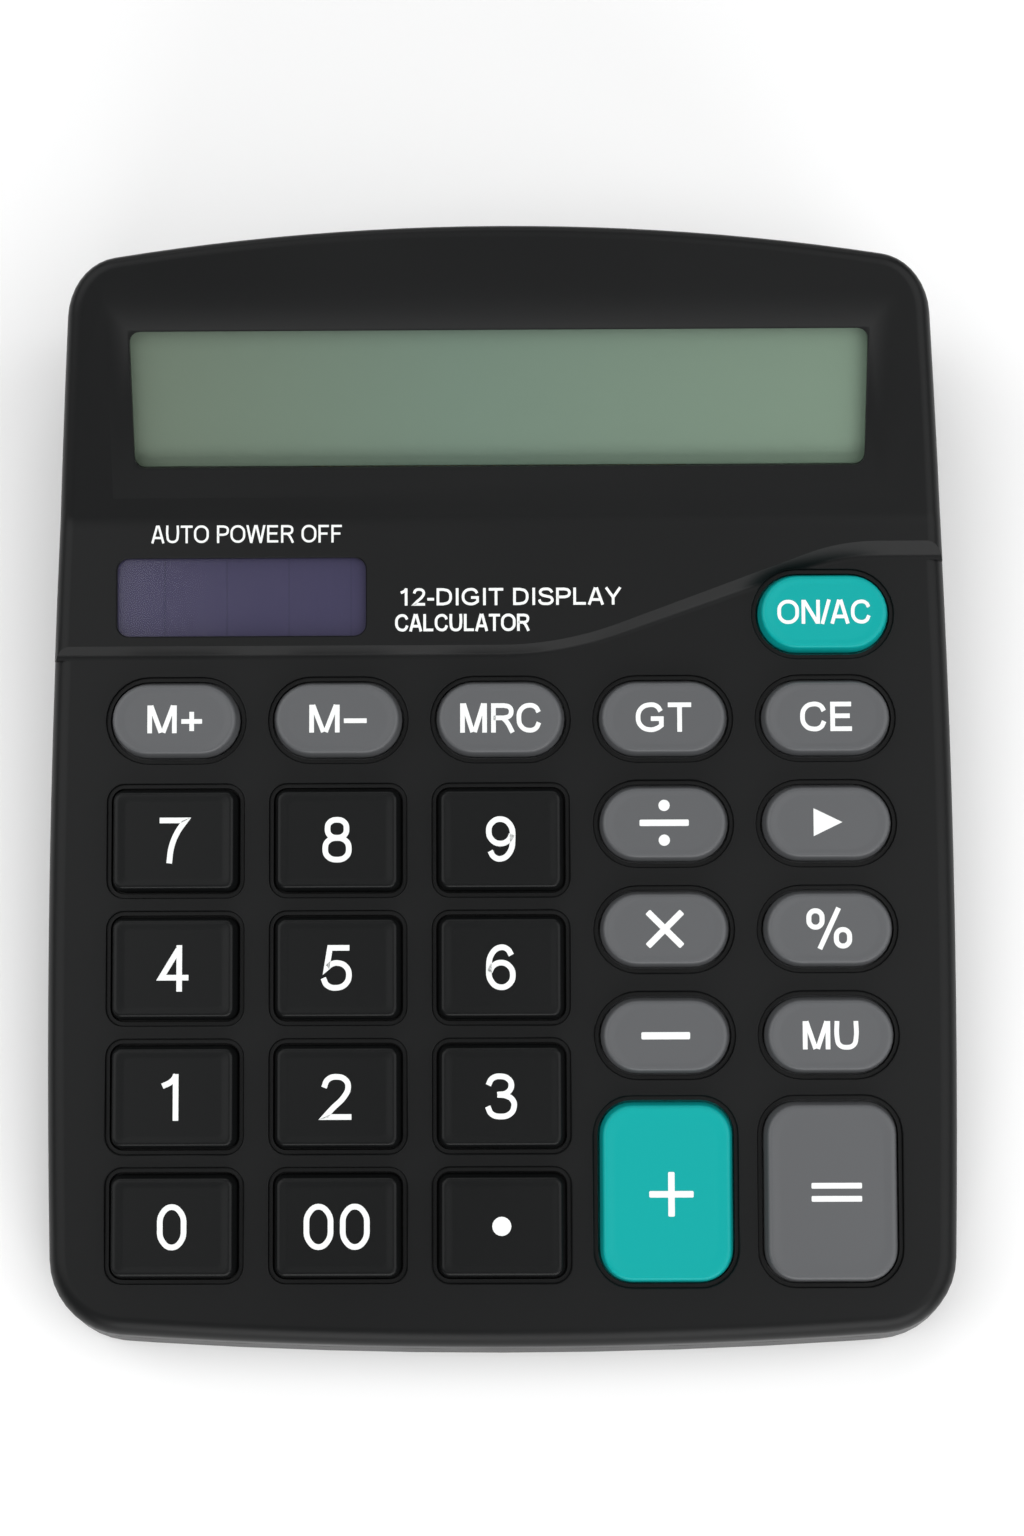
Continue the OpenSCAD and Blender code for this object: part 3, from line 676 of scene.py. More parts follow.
def above_front(cove):
    """Everything above the deck in front of the curved step, which slopes down and meets it in a cove."""
    turn = math.radians(CREST_TURN)
    bulge = sum(CREST_R) * (1 - math.cos(turn))
    run = (CREST_SWEEP - bulge) / math.sin(turn)
    first = Vector((0.0, CREST_Y + CREST_R[0]))
    bend = Vector((CREST_R[0] * math.sin(turn), CREST_Y + CREST_R[0] * (1 - math.cos(turn))))
    slope_end = bend + Vector((math.cos(turn), math.sin(turn))) * run
    last = slope_end + Vector((math.sin(turn), -math.cos(turn))) * CREST_R[1]
    moves = [
        ("to", (0.0, CREST_Y)),
        ("arc", first, CREST_TURN, 12),
        ("to", slope_end),
        ("arc", last, -CREST_TURN, 12),
        ("to", (80.0, CREST_Y + CREST_SWEEP)),
        ("to", (80.0, -FAR)),
        ("to", (-80.0, -FAR)),
        ("to", (-80.0, CREST_Y)),
    ]
    obj = filled(trace("above_front", (-80.0, CREST_Y), moves, -12.0), 0.0)
    edit(obj, "FACE", everything=True)
    ramp = math.radians(RAMP_TILT)
    straight = RAMP_TOP - cove * (1 - math.cos(ramp))
    foot = cove * math.sin(ramp) + straight / math.tan(ramp)
    rises = [(12.0, -foot)]
    for i in range(RAMP_STEPS):
        a, b = ramp * i / RAMP_STEPS, ramp * (i + 1) / RAMP_STEPS
        rises.append((cove * (math.cos(a) - math.cos(b)), cove * (math.sin(b) - math.sin(a))))
    rises += [(straight + 1.0, (straight + 1.0) / math.tan(ramp)), (30.0, 0.0)]
    for rise, back in rises:
        bpy.ops.mesh.extrude_region_move(TRANSFORM_OT_translate={"value": (0.0, 0.0, rise)})
        mesh = bmesh.from_edit_mesh(obj.data)
        for v in mesh.verts:
            if v.select and v.co.y > -FAR / 2:
                v.co.y += back
        bmesh.update_edit_mesh(obj.data)
    pick(obj, "VERT", lambda v: v.co.z < -11.0 and v.co.y > -FAR / 2)
    bpy.ops.transform.translate(value=(0.0, -foot, 0.0))
    close()
    return settle(outwards(obj), DECK)


def round_rim(obj, width, segments, test):
    """Rounds the edges between a top face and the walls around it."""

    def on_rim(edge):
        faces = [f.normal for f in edge.link_faces]
        if len(faces) != 2 or not test(edge):
            return False
        return max(n.z for n in faces) > 0.8 and min(n.z for n in faces) < 0.4

    edit(obj, "EDGE")
    pick(obj, "EDGE", on_rim)
    bpy.ops.mesh.bevel(
        offset=width,
        offset_type="OFFSET",
        segments=segments,
        profile=0.5,
        affect="EDGES",
        clamp_overlap=False,
    )
    close()
    return obj


def cut_level(obj, place, normal, keep_below=True):
    """Cuts a closed shape with a plane and closes it again."""
    edit(obj, "FACE", everything=True)
    bpy.ops.mesh.bisect(
        plane_co=place, plane_no=normal, use_fill=True, clear_outer=keep_below, clear_inner=not keep_below
    )
    close()
    return obj


def boxed(name, size, centre):
    bpy.ops.mesh.primitive_cube_add(size=1.0, location=centre)
    obj = bpy.context.object
    obj.name = name
    obj.scale = size
    bpy.ops.object.transform_apply(location=True, scale=True)
    return obj


def key_openings(lip):
    """A cutter for every key: a round lip, a shallow ring, and the opening itself."""
    cutters = []
    for name, x, v, shape, _, _ in key_table():
        length, width, radius = SHAPES[shape]
        ring = RING + lip
        obj = plate(name, length + 2 * ring, width + 2 * ring, radius + ring, 3.0, 8)
        # Down to the deck, round the lip in two steps, then the ring's wall, its floor and the opening
        steps = [(3.0, 0.0), (0.3 * lip, 0.62 * lip), (0.7 * lip, 0.38 * lip)]
        steps += [(RING_DEPTH - lip, 0.0), (0.0, RING_STEP), (6.0, 0.0)]
        cutters.append(shift(raise_steps(obj, steps, down=True), (x, v, 0.0)))
    return settle(join(cutters), DECK)


# ---- Operators ----


class CalculatorStage(Operator):
    """Pale floor, soft light from both sides, and the camera"""

    bl_idname = "calculator.stage"
    bl_label = "Stage"

    def execute(self, context):
        stage = context.scene.calculator_stage
        bpy.ops.mesh.primitive_grid_add(x_subdivisions=8, y_subdivisions=8, size=6.0)
        floor = context.object
        floor.name = "floor"
        paper = Finish("paper", stage.floor_colour, 0.85, Specular_IOR_Level=0.1)
        shade = [c * 0.99 for c in stage.floor_colour]
        paper.feed("Base Color", paper.mix(paper.noise(400.0), shade, stage.floor_colour))
        floor.data.materials.append(paper.material)

        world = context.scene.world or bpy.data.worlds.new("studio")
        context.scene.world = world
        world.use_nodes = True
        backdrop = world.node_tree.nodes["Background"]
        backdrop.inputs["Color"].default_value = (1.0, 1.0, 1.0, 1.0)
        backdrop.inputs["Strength"].default_value = stage.sky

        lights = [
            ("left_box", (-0.8, 0.15, 1.0), (1.3, 1.5), stage.side_power),
            ("right_box", (0.8, -0.1, 1.0), (1.3, 1.5), stage.side_power),
            ("front_box", (0.25, -1.3, 0.55), (1.6, 0.8), stage.front_power),
            ("rear_box", (0.0, 1.3, 0.8), (1.8, 0.8), stage.rear_power),
        ]
        for name, place, size, power in lights:
            lamp = bpy.data.lights.new(name, "AREA")
            lamp.shape, lamp.size, lamp.size_y, lamp.energy = "RECTANGLE", size[0], size[1], power
            holder = bpy.data.objects.new(name, lamp)
            context.scene.collection.objects.link(holder)
            holder.location = place
            holder.rotation_euler = (-Vector(place)).to_track_quat("-Z", "Y").to_euler()

        lens = bpy.data.cameras.new("camera")
        lens.lens, lens.sensor_width, lens.sensor_fit = LENS_LENGTH, SENSOR_WIDTH, "AUTO"
        lens.clip_start, lens.clip_end = 0.01, 20.0
        camera = bpy.data.objects.new("camera", lens)
        context.scene.collection.objects.link(camera)
        turned = Euler([math.radians(angle) for angle in CAMERA_TURN]).to_matrix().to_4x4()
        camera.matrix_world = Matrix.Translation(CAMERA_AT) @ turned
        context.scene.camera = camera
        context.scene.view_settings.view_transform = "Standard"
        return {"FINISHED"}


class CalculatorUpperCase(Operator):
    """Upper half of the case: the deck, the curved step, the ledge and the display panel"""

    bl_idname = "calculator.upper_case"
    bl_label = "Upper case"

    def execute(self, context):
        case = context.scene.calculator_case
        wall = case.wall / MM
        obj = combine(case_block("upper_case"), above_rear(case.fold_radius / MM))
        round_rim(obj, case.panel_edge / MM, 5, lambda e: all(v.co.y > LEDGE_START - 0.1 for v in e.verts))

        lean = math.radians(DECK[1])
        front = cut_level(case_block("front", -0.02), DECK[0], (0.0, -math.sin(lean), math.cos(lean)))
        round_rim(front, case.deck_edge / MM, 6, lambda e: True)
        carve = combine(above_front(case.cove / MM), front)
        combine(obj, carve)

        cut_level(obj, (0.0, 0.0, SEAM_Z), (0.0, 0.0, 1.0), keep_below=False)
        edit(obj, "EDGE")
        pick(obj, "EDGE", lambda e: all(abs(v.co.z - SEAM_Z) < NEAR for v in e.verts))
        bpy.ops.mesh.bevel(offset=SEAM_EDGE, segments=2, affect="EDGES")
        close()

        room = combine(
            case_block("room", wall),
            side_profile(
                "roof",
                [
                    (-FAR, level(DECK, -FAR, wall)),
                    (34.4, level(DECK, 34.4, wall)),
                    (34.6, level(LEDGE, 34.6, wall)),
                    (FOLD_Y + 0.4, level(PANEL, FOLD_Y + 0.4, wall)),
                    (FAR, level(PANEL, FAR, wall)),
                    (FAR, 90.0),
                    (-FAR, 90.0),
                ],
                2 * FAR,
            ),
        )
        pads = [
            settle(boxed("pad", (108.0, 31.8, 5.2), (0.0, 16.5, -1.6)), PANEL),
            settle(boxed("pad", (39.2, 15.25, 4.2), (*SOLAR_AT, -1.1)), LEDGE),
        ]
        for pad in pads:
            combine(room, pad)
        bosses = [rod("boss", 1.5, -6.0, 1.0, at) for at in BOARD_SCREWS]
        combine(room, settle(join(bosses), DECK))
        combine(room, join([rod("boss", 2.6, 5.5, 45.0, at) for at in CASE_SCREWS]))
        combine(obj, room)

        holes = [
            settle(join([rod("hole", 0.85, -7.0, -2.6, at, 12) for at in BOARD_SCREWS]), DECK),
            settle(join([rod("hole", 0.85, -5.2, -2.2, at, 12) for at in HOLDER_SCREWS]), PANEL),
            join([rod("hole", 1.1, 0.0, 10.2, at, 12) for at in CASE_SCREWS]),
        ]
        for hole in holes:
            combine(obj, hole)
        combine(obj, settle(boxed("seat", (100.8, 20.9, 8.2), (*GLASS_AT, -5.9)), PANEL))
        combine(obj, settle(slab("window", *WINDOW, -6.0, 2.0, at=WINDOW_AT), PANEL))
        combine(obj, self.bezel())
        combine(obj, settle(boxed("seat", (35.6, 12.85, 5.1), (*SOLAR_AT, -3.45)), LEDGE))
        solar = plate("solar", *SOLAR, 2.0)
        raise_steps(solar, [(2.0, 0.0), (SOLAR_EDGE, SOLAR_EDGE), (6.0, 0.0)], down=True)
        combine(obj, settle(shift(solar, (*SOLAR_AT, 0.0)), LEDGE))
        combine(obj, key_openings(case.lip / MM))
        complete(obj, "upper_case_shell", FINISHES["case_black"], replaces=["upper_case"])
        return {"FINISHED"}

    def bezel(self):
        """The mitred frame that slopes down from the panel to the display window."""
        length, width = FRAME
        bpy.ops.mesh.primitive_plane_add(size=1.0, location=(*FRAME_AT, 0.0))
        obj = bpy.context.object
        obj.scale = (length, width, 1.0)
        bpy.ops.object.transform_apply(location=True, scale=True)
        edit(obj, "FACE", everything=True)
        bpy.ops.mesh.extrude_region_move(TRANSFORM_OT_translate={"value": (0.0, 0.0, 0.0)})
        shrink = ((WINDOW[0] + FRAME_LIP) / length, (WINDOW[1] + FRAME_LIP) / width, 1.0)
        bpy.ops.transform.resize(value=shrink, center_override=(*FRAME_AT, 0.0))
        bpy.ops.transform.translate(value=(0.0, WINDOW_AT[1] - FRAME_AT[1], -FRAME_DEPTH))
        pick(obj, "FACE", lambda f: abs(f.calc_center_median().z) < NEAR)
        bpy.ops.mesh.extrude_region_move(TRANSFORM_OT_translate={"value": (0.0, 0.0, 3.0)})
        close()
        return settle(outwards(obj), PANEL)


class CalculatorKeys(Operator):
    """The 26 key caps: four masters, and a copy for each key"""

    bl_idname = "calculator.keys"
    bl_label = "Keys"

    def execute(self, context):
        keys = context.scene.calculator_keys
        masters = {shape: self.master(shape, keys) for shape in SHAPES}
        for name, x, v, shape, finish, _ in key_table():
            cap = settle(copied(masters[shape], name), DECK, (x, v, 0.0))
            complete(cap, name + "_cap", FINISHES[finish], name + "_body", [name], angle=35.0)
        for master in masters.values():
            bpy.data.objects.remove(master)
        return {"FINISHED"}

    def master(self, shape, keys):
        """A hollow cap on a flange, with a rounded edge and a shallow dish, and the stem under it."""
        length, width, radius = SHAPES[shape]
        rise, edge, dish = keys.rise / MM, keys.edge / MM, keys.dish / MM
        grow = KEY_TAPER + FLANGE
        obj = plate(shape, length + 2 * grow, width + 2 * grow, radius + grow, SKIRT_LOW, 8)
        steps = [(FLANGE_T, 0.0), (0.0, FLANGE), (-SKIRT_LOW - FLANGE_T, 0.0), (rise - edge, KEY_TAPER)]
        for i in range(EDGE_STEPS):
            a, b = (math.radians(90.0 * j / EDGE_STEPS) for j in (i, i + 1))
            steps.append((edge * (math.sin(b) - math.sin(a)), edge * (math.cos(a) - math.cos(b))))
        raise_steps(obj, steps)
        edit(obj, "FACE")
        pick(obj, "FACE", lambda f: f.calc_center_median().z > rise - NEAR)
        for share, fall in DISH_STEPS:
            bpy.ops.mesh.extrude_region_move(TRANSFORM_OT_translate={"value": (0.0, 0.0, -fall * dish)})
            bpy.ops.transform.resize(value=(share, share, 1.0), center_override=(0.0, 0.0, 0.0))
        close()
        outwards(obj)
        inner = max(radius - KEY_WALL, 0.5)
        hollow = slab("hollow", length - 2 * KEY_WALL, width - 2 * KEY_WALL, inner, -4.0, rise - KEY_TOP)
        combine(obj, hollow)
        return combine(obj, rod("stem", STEM_R, STEM_LOW, rise - KEY_TOP + 0.2), "UNION")


def bowl(x, y, rx, ry):
    """A closed round stroke."""
    around = [(1, 0), (0.8, 0.68), (0, 1), (-0.8, 0.68), (-1, 0), (-0.8, -0.68), (0, -1), (0.8, -0.68)]
    return [True] + [(x + rx * a, y + ry * b) for a, b in around]


# Strokes of each letter, on a cap height of 1. A point is (x, y), or (x, y, 1) at a sharp turn, and a first
# item of True closes the stroke. Each letter starts with the width it takes up.
SIX = [
    (0.61, 0.76), (0.53, 0.885), (0.385, 0.93), (0.2, 0.81), (0.125, 0.48), (0.18, 0.19), (0.38, 0.07),
    (0.575, 0.15), (0.64, 0.33), (0.57, 0.52), (0.39, 0.6), (0.215, 0.53), (0.14, 0.4),
]
STROKES = {
    "0": (0.77, [bowl(0.385, 0.5, 0.255, 0.43)]),
    "1": (0.77, [[(0.455, 0, 1), (0.455, 1, 1)], [(0.47, 0.98), (0.37, 0.845), (0.17, 0.74)]]),
    "2": (0.77, [
        [
            (0.11, 0.7), (0.19, 0.87), (0.385, 0.93), (0.575, 0.86), (0.63, 0.7), (0.54, 0.5),
            (0.29, 0.25), (0.125, 0.07, 1), (0.7, 0.07, 1),
        ],
    ]),
    "3": (0.77, [
        [
            (0.105, 0.74), (0.185, 0.88), (0.37, 0.93), (0.55, 0.86), (0.6, 0.73), (0.52, 0.585),
            (0.3, 0.535),
        ],
        [
            (0.3, 0.535), (0.5, 0.51), (0.635, 0.41), (0.655, 0.27), (0.57, 0.125), (0.37, 0.07),
            (0.175, 0.125), (0.09, 0.285),
        ],
    ]),
    "4": (0.77, [[(0.72, 0.3, 1), (0.13, 0.3, 1), (0.5, 0.91, 1)], [(0.52, 0, 1), (0.52, 1, 1)]]),
    "5": (0.77, [
        [
            (0.655, 0.93, 1), (0.235, 0.93, 1), (0.165, 0.5, 1), (0.27, 0.58), (0.4, 0.605),
            (0.58, 0.525), (0.645, 0.335), (0.565, 0.145), (0.365, 0.07), (0.175, 0.125), (0.09, 0.28),
        ],
    ]),
    "6": (0.77, [SIX]),
    "7": (0.77, [[(0.08, 0.93, 1), (0.645, 0.93, 1), (0.47, 0.68), (0.34, 0.36), (0.29, 0.0)]]),
    "8": (0.77, [bowl(0.385, 0.735, 0.205, 0.195), bowl(0.385, 0.3, 0.255, 0.235)]),
    "9": (0.77, [[(0.77 - x, 1 - y) for x, y in SIX]]),
    "A": (0.93, [
        [(0.1, 0, 1), (0.43, 1, 1)],
        [(0.83, 0, 1), (0.5, 1, 1)],
        [(0.2, 0.3, 1), (0.73, 0.3, 1)],
    ]),
    "C": (1.0, [
        [
            (0.86, 0.69), (0.75, 0.86), (0.5, 0.925), (0.22, 0.8), (0.125, 0.5), (0.22, 0.2),
            (0.5, 0.075), (0.75, 0.14), (0.87, 0.34),
        ],
    ]),
    "D": (1.0, [
        [
            True, (0.16, 0.08, 1), (0.16, 0.92, 1), (0.45, 0.92, 1), (0.74, 0.81), (0.84, 0.5),
            (0.74, 0.19), (0.45, 0.08, 1),
        ],
    ]),
    "E": (0.92, [
        [(0.8, 0.92, 1), (0.16, 0.92, 1), (0.16, 0.08, 1), (0.82, 0.08, 1)],
        [(0.16, 0.52, 1), (0.75, 0.52, 1)],
    ]),
    "F": (0.85, [[(0.77, 0.92, 1), (0.16, 0.92, 1), (0.16, 0, 1)], [(0.16, 0.5, 1), (0.68, 0.5, 1)]]),
    "G": (1.08, [
        [
            (0.88, 0.7), (0.76, 0.87), (0.52, 0.925), (0.23, 0.8), (0.125, 0.5), (0.23, 0.2),
            (0.52, 0.075), (0.76, 0.125), (0.9, 0.22, 1), (0.9, 0.45, 1), (0.55, 0.45, 1),
        ],
    ]),
    "I": (0.38, [[(0.19, 0, 1), (0.19, 1, 1)]]),
    "L": (0.83, [[(0.16, 1, 1), (0.16, 0.08, 1), (0.76, 0.08, 1)]]),
    "M": (1.16, [
        [(0.17, 0, 1), (0.17, 1, 1)],
        [(0.99, 0, 1), (0.99, 1, 1)],
        [(0.21, 0.99, 1), (0.545, 0.02, 1)],
        [(0.95, 0.99, 1), (0.615, 0.02, 1)],
    ]),
    "N": (1.0, [
        [(0.16, 0, 1), (0.16, 1, 1)],
        [(0.19, 0.97, 1), (0.81, 0.03, 1)],
        [(0.84, 0, 1), (0.84, 1, 1)],
    ]),
    "O": (1.08, [bowl(0.54, 0.5, 0.415, 0.43)]),
    "P": (0.92, [
        [
            (0.16, 0, 1), (0.16, 0.92, 1), (0.52, 0.92, 1), (0.74, 0.85), (0.8, 0.69), (0.73, 0.53),
            (0.52, 0.46, 1), (0.16, 0.46, 1),
        ],
    ]),
    "R": (0.98, [
        [
            (0.16, 0, 1), (0.16, 0.92, 1), (0.55, 0.92, 1), (0.76, 0.86), (0.82, 0.71), (0.75, 0.56),
            (0.55, 0.5, 1), (0.16, 0.5, 1),
        ],
        [(0.5, 0.5), (0.64, 0.38), (0.87, 0.0)],
    ]),
    "S": (0.92, [
        [
            (0.79, 0.72), (0.68, 0.88), (0.45, 0.93), (0.22, 0.87), (0.16, 0.72), (0.25, 0.59),
            (0.48, 0.51), (0.74, 0.42), (0.8, 0.26), (0.7, 0.12), (0.46, 0.07), (0.2, 0.13), (0.1, 0.31),
        ],
    ]),
    "T": (0.86, [[(0.04, 0.92, 1), (0.82, 0.92, 1)], [(0.43, 0, 1), (0.43, 0.92, 1)]]),
    "U": (1.0, [
        [(0.16, 1, 1), (0.16, 0.4), (0.24, 0.16), (0.5, 0.07), (0.76, 0.16), (0.84, 0.4), (0.84, 1, 1)],
    ]),
    "W": (1.3, [
        [(0.09, 1, 1), (0.34, 0, 1)],
        [(0.34, 0, 1), (0.62, 1, 1)],
        [(0.68, 1, 1), (0.96, 0, 1)],
        [(0.96, 0, 1), (1.21, 1, 1)],
    ]),
    "Y": (0.92, [
        [(0.08, 1, 1), (0.46, 0.42, 1)],
        [(0.84, 1, 1), (0.46, 0.42, 1)],
        [(0.46, 0, 1), (0.46, 0.5, 1)],
    ]),
    "+": (0.81, [[(0.06, 0.42, 1), (0.75, 0.42, 1)], [(0.405, 0.075, 1), (0.405, 0.765, 1)]]),
    "-": (0.46, [[(0.05, 0.36, 1), (0.41, 0.36, 1)]]),
    "−": (0.81, [[(0.04, 0.42, 1), (0.77, 0.42, 1)]]),
    "/": (0.38, [[(0.03, -0.01, 1), (0.35, 1.01, 1)]]),
    "%": (1.24, [
        bowl(0.28, 0.73, 0.165, 0.2),
        bowl(0.96, 0.27, 0.165, 0.2),
        [(0.38, 0.0, 1), (0.86, 1.0, 1)],
    ]),
    " ": (0.4, []),
}


# Width and height of the short words on the keys
BOLD = {
    "M+": (7.5, 3.7),
    "M−": (7.8, 3.7),
    "MRC": (10.8, 3.9),
    "GT": (7.3, 3.9),
    "CE": (7.0, 3.9),
    "MU": (7.5, 3.7),
}
# Thickness of the lettering, and its gap to the surface under it
INK, INK_GAP = 0.02, 0.004


class CalculatorLegends(Operator):
    """White legends on the keys and on the case"""

    bl_idname = "calculator.legends"
    bl_label = "Legends"

    def execute(self, context):
        keys = context.scene.calculator_keys
        top = (keys.rise - keys.dish) / MM + INK_GAP
        white = FINISHES["legend_white"]
        for name, x, v, _, _, legend in key_table():
            legend = legend.upper() if legend == "mu" else legend
            if legend in BOLD:
                mark = self.lettering(legend, *BOLD[legend], stroke=0.62)
            elif legend == "ON/AC":
                mark = self.lettering(legend, 12.3, 3.2, stroke=0.48)
            elif legend.isdigit():
                mark = self.lettering(legend, 8.9 if len(legend) > 1 else None, 6.1, stroke=0.74)
            elif legend == "percent":
                mark = self.lettering("%", 6.0, 5.4, stroke=0.66)
            else:
                mark = self.sign(legend)
            settle(mark, DECK, (x, v, top))
            complete(mark, name + "_legend", white, name + "_body", steady=False)
        lines = [
            ("auto_power_off", "AUTO POWER OFF", 25.4, 2.4, 0.3, (-33.7, -1.67)),
            ("line_one", "12-DIGIT DISPLAY", 29.6, 2.3, 0.36, (1.3, -10.2)),
            ("line_two", "CALCULATOR", 17.8, 2.3, 0.36, (-5.0, -13.65)),
        ]
        for name, text, width, height, stroke, (x, s) in lines:
            mark = settle(self.lettering(text, width, height, stroke), LEDGE, (x, s, INK_GAP))
            complete(mark, "legend_" + name, white, steady=False)
        return {"FINISHED"}

    def stroke(self, points, tall, wide, start, width):
        """One pen stroke of constant width, drawn as a curve and given its body."""
        closed = points[0] is True
        points = points[1:] if closed else points
        line = bpy.data.curves.new("stroke", "CURVE")
        line.dimensions, line.resolution_u = "2D", 5
        spline = line.splines.new("BEZIER")
        spline.bezier_points.add(len(points) - 1)
        spline.use_cyclic_u = closed
        for knot, (x, y, *sharp) in zip(spline.bezier_points, points):
            knot.co = (start + x * wide, y * tall, 0.0)
            knot.handle_left_type = knot.handle_right_type = "VECTOR" if sharp else "AUTO"
        obj = bpy.data.objects.new("stroke", line)
        bpy.context.scene.collection.objects.link(obj)
        only(obj)
        line.fill_mode = "NONE"
        bpy.ops.object.convert(target="MESH")
        edit(obj, "EDGE", everything=True)
        bpy.ops.mesh.delete(type="ONLY_FACE")
        bpy.ops.mesh.select_all(action="SELECT")
        bpy.ops.mesh.remove_doubles(threshold=0.001)
        bpy.ops.mesh.extrude_region_move(TRANSFORM_OT_translate={"value": (0.0, 0.0, INK)})
        close()
        change = obj.modifiers.new("Width", "SOLIDIFY")
        change.thickness, change.offset, change.use_even_offset = width, 0.0, True
        apply_last(obj)
        return outwards(obj)

    def lettering(self, text, width, height, stroke):
        """Thin raised lettering of the given width and height, its middle at the origin."""
        run = sum(STROKES[c][0] for c in text)
        wide = (width + 0.1 * height) / run if width else height
        strokes, start = [], 0.0
        for letter in text:
            for points in STROKES[letter][1]:
                strokes.append((points, start))
            start += STROKES[letter][0] * wide
        made = []
        for i, (points, begin) in enumerate(strokes):
            part = self.stroke(points, height, wide, begin, stroke)
            made.append(shift(part, (0.0, 0.0, 0.0005 * (i % 3))))
        return shift(join(made), (-start / 2, -height / 2, 0.0))

    def thicken(self, obj):
        edit(obj, "FACE", everything=True)
        bpy.ops.mesh.extrude_region_move(TRANSFORM_OT_translate={"value": (0.0, 0.0, INK)})
        close()
        return outwards(obj)

    def bar(self, length, width, at=(0.0, 0.0), turn=0.0, radius=None):
        obj = plate("bar", length, width, min(width, length) * 0.2 if radius is None else radius, 0.0, 5)
        only(obj)
        turned = Matrix.Rotation(math.radians(turn), 4, "Z")
        obj.matrix_world = Matrix.Translation((at[0], at[1], 0.0)) @ turned
        bpy.ops.object.transform_apply(location=True, rotation=True)
        return self.thicken(obj)

    def sign(self, legend):
        """Arithmetic signs, the point and the arrow."""
        if legend == "divide":
            dots = [self.bar(1.5, 1.5, (0, y), radius=0.75) for y in (2.3, -2.3)]
            return join([self.bar(6.5, 0.85), *dots])
        if legend == "multiply":
            return combine(self.bar(6.4, 0.85, turn=45), self.bar(6.4, 0.85, turn=-45), "UNION")
        if legend == "minus":
            return self.bar(6.4, 0.95)
        if legend == "plus":
            return shift(combine(self.bar(5.8, 0.85), self.bar(0.85, 5.8), "UNION"), (0.6, -0.2, 0.0))
        if legend == "equals":
            return join([self.bar(6.6, 0.75, (0.6, 0.85)), self.bar(6.6, 0.75, (0.6, -0.85))])
        if legend == "point":
            return self.bar(2.5, 2.5, radius=1.25)
        moves = [("to", (1.9, 0.0)), ("to", (-1.9, 1.85)), ("to", (-1.9, -1.85))]
        return self.thicken(filled(trace("arrow", (-1.9, -1.85), moves), 0.0))


class CalculatorDisplay(Operator):
    """Clear window and the display glass behind it"""

    bl_idname = "calculator.display"
    bl_label = "Display"

    def execute(self, context):
        clear = FINISHES["clear_window"]
        window = settle(slab("window", *LENS_PLATE, GLASS_AT), PANEL)
        complete(window, "display_lens", clear, replaces=["display_window"])
        glass = settle(slab("glass", *LCD_PLATE, GLASS_AT), PANEL)
        complete(glass, "lcd_panel", FINISHES["lcd"], replaces=["lcd_glass"])
        return {"FINISHED"}


class CalculatorSolar(Operator):
    """Tinted solar window and the cell under it"""

    bl_idname = "calculator.solar"
    bl_label = "Solar window"

    def execute(self, context):
        cover = settle(slab("cover", *SOLAR_COVER, SOLAR_AT), LEDGE)
        complete(cover, "solar_cover", FINISHES["solar_tint"], replaces=["solar_window"])
        cell = settle(slab("cell", *SOLAR_CELL, SOLAR_AT), LEDGE)
        complete(cell, "solar_plate", FINISHES["solar_silicon"], replaces=["solar_cell"])
        return {"FINISHED"}


class CalculatorMat(Operator):
    """The silicone mat under the keys, with a dome for each key"""

    bl_idname = "calculator.mat"
    bl_label = "Key mat"

    def execute(self, context):
        rubber = FINISHES["silicone"]
        sheet = slab("key_mat", *MAT, MAT_LOW, MAT_TOP, at=MAT_AT)
        tab = slab("tab", *MAT_TAB, MAT_LOW + 0.02, MAT_TOP - 0.02, at=MAT_TAB_AT)
        combine(sheet, tab, "UNION")
        holes = [rod("hole", MAT_HOLE, MAT_LOW - 1.0, MAT_TOP + 1.0, at) for at in BOARD_SCREWS]
        combine(sheet, join(holes))
        soften(sheet, 0.12, 2)
        complete(settle(sheet, DECK), "key_mat_sheet", rubber, replaces=["key_mat"])

        tilt = math.radians(DECK[1])
        upwards = Vector((0.0, -math.sin(tilt), math.cos(tilt)))
        master = self.dome()
        for name, x, v, _, _, _ in key_table():
            dome = settle(copied(master, name), DECK, (x, v, 0.0))
            complete(dome, name + "_dome", rubber)
            foot = Vector(DECK[0]) + Vector((x, v * math.cos(tilt), v * math.sin(tilt))) + upwards * MAT_TOP
            name + "_press"
            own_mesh(dome)
        bpy.data.objects.remove(master)
        return {"FINISHED"}

    def dome(self):
        """A hollow dome with a sloping skirt and a flat top for the stem of the key."""
        steps = [(0.3, 0.1), (0.5, 0.15), (0.8, 0.5), (0.3, 0.1), (0.1, 0.15)]
        outer = raise_steps(plate("dome", 6.2, 6.2, 3.1, MAT_TOP - 0.1), steps)
        hollow = plate("hollow", 4.8, 4.8, 2.4, MAT_TOP - 0.3)
        return combine(outer, raise_steps(hollow, [(0.4, 0.05), (0.6, 0.25), (0.5, 0.5)]))


class CalculatorFeet(Operator):
    """Four rubber feet with a rounded rim and a shallow hollow underneath"""

    bl_idname = "calculator.feet"
    bl_label = "Feet"

    def execute(self, context):
        steps = [(1.6, 0.0), (0.15, 0.05), (0.15, 0.1), (0.1, 0.2), (-0.25, 1.4)]
        for name, at in FEET.items():
            foot = raise_steps(plate(name, 2 * FOOT_R, 2 * FOOT_R, FOOT_R, FOOT_TOP, 10), steps, down=True)
            shift(foot, (*at, 0.0))
            complete(foot, name + "_pad", FINISHES["foot_rubber"], replaces=[name])
        return {"FINISHED"}


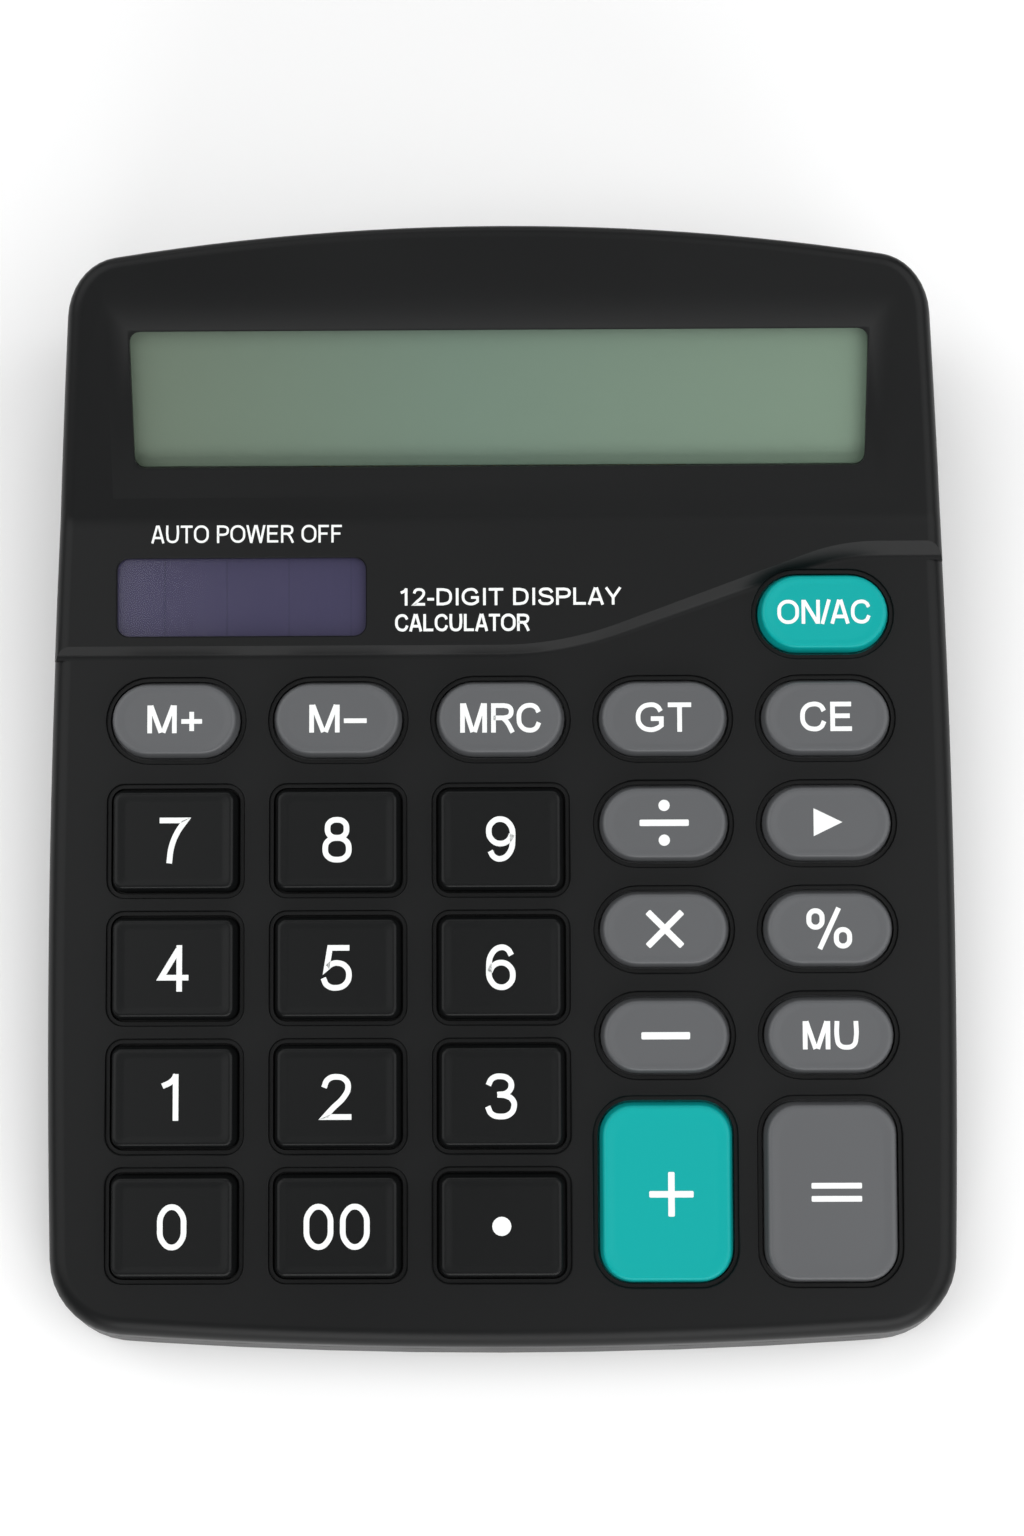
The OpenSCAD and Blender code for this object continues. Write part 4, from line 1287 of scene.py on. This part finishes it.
class CalculatorInside(Operator):
    """Finishes for the parts that keep the frame's own shape"""

    bl_idname = "calculator.inside"
    bl_label = "Inner parts"

    def execute(self, context):
        for part in frame["record"]["subparts"]:
            obj = frame["nodes"][part["node"]]
            obj.data.materials.clear()
            obj.data.materials.append(FINISHES[part["material_slot"]])
        return {"FINISHED"}


# ---- Settings ----


class CaseSettings(PropertyGroup):
    wall: FloatProperty(
        name="Wall", description="Thickness of the case wall", default=2 * MM, unit="LENGTH"
    )
    fold_radius: FloatProperty(
        name="Fold", description="Radius between ledge and panel", default=6 * MM, unit="LENGTH"
    )
    panel_edge: FloatProperty(
        name="Panel edge", description="Rounding around the display panel",
        default=1.9 * MM, unit="LENGTH",
    )
    deck_edge: FloatProperty(
        name="Deck edge", description="Rounding around the key deck", default=2.3 * MM, unit="LENGTH"
    )
    cove: FloatProperty(
        name="Step cove", description="Radius at the foot of the step", default=1.3 * MM, unit="LENGTH"
    )
    lip: FloatProperty(
        name="Lip", description="Rounding of each key opening", default=0.2 * MM, unit="LENGTH"
    )


class KeySettings(PropertyGroup):
    rise: FloatProperty(
        name="Rise", description="Height of the key tops above the deck",
        default=2.2 * MM, unit="LENGTH",
    )
    edge: FloatProperty(
        name="Edge", description="Rounding of the key tops", default=0.5 * MM, unit="LENGTH"
    )
    dish: FloatProperty(
        name="Dish", description="Depth of the finger dish", default=0.08 * MM, unit="LENGTH"
    )


class FinishSettings(PropertyGroup):
    case: FloatVectorProperty(
        name="Case", description="Case plastic", subtype="COLOR", default=(0.0064, 0.0068, 0.007)
    )
    case_roughness: FloatProperty(
        name="Case roughness", description="Sheen of the case", default=0.38, subtype="FACTOR"
    )
    black_key: FloatVectorProperty(
        name="Black keys", description="Number key plastic",
        subtype="COLOR", default=(0.0046, 0.0051, 0.0053),
    )
    grey_key: FloatVectorProperty(
        name="Grey keys", description="Function key plastic",
        subtype="COLOR", default=(0.099, 0.102, 0.107),
    )
    teal_key: FloatVectorProperty(
        name="Teal keys", description="Accent key plastic",
        subtype="COLOR", default=(0.0015, 0.35, 0.335),
    )


class StageSettings(PropertyGroup):
    floor_colour: FloatVectorProperty(
        name="Floor", description="Floor colour", subtype="COLOR", default=(0.97, 0.97, 0.97)
    )
    sky: FloatProperty(name="Sky", description="Strength of the even light all round", default=0.1)
    side_power: FloatProperty(
        name="Side boxes", description="Power of the two side lights", default=11.0, unit="POWER"
    )
    front_power: FloatProperty(
        name="Front box", description="Power of the front light", default=14.5, unit="POWER"
    )
    rear_power: FloatProperty(
        name="Rear box", description="Power of the rear light", default=7.0, unit="POWER"
    )


OPERATORS = (
    CalculatorStage,
    CalculatorUpperCase,
    CalculatorKeys,
    CalculatorLegends,
    CalculatorDisplay,
    CalculatorSolar,
    CalculatorMat,
    CalculatorFeet,
    CalculatorInside,
)
SETTINGS = {
    "calculator_case": CaseSettings,
    "calculator_keys": KeySettings,
    "calculator_finishes": FinishSettings,
    "calculator_stage": StageSettings,
}


class CalculatorPanel(Panel):
    """Lists every step of the build"""

    bl_idname = "VIEW3D_PT_calculator"
    bl_label = "Desk calculator"
    bl_space_type = "VIEW_3D"
    bl_region_type = "UI"
    bl_category = "Calculator"

    def draw(self, context):
        for step in OPERATORS:
            self.layout.operator(step.bl_idname)


def register():
    for settings in SETTINGS.values():
        bpy.utils.register_class(settings)
    for name, settings in SETTINGS.items():
        setattr(bpy.types.Scene, name, PointerProperty(type=settings))
    for step in (*OPERATORS, CalculatorPanel):
        bpy.utils.register_class(step)


def unregister():
    for step in reversed((*OPERATORS, CalculatorPanel)):
        bpy.utils.unregister_class(step)
    for name, settings in SETTINGS.items():
        delattr(bpy.types.Scene, name)
        bpy.utils.unregister_class(settings)


def main():
    register()
    FINISHES.update(make_finishes())
    for step in OPERATORS:
        group, name = step.bl_idname.split(".")
        getattr(getattr(bpy.ops, group), name)()


if __name__ == "__main__":
    main()
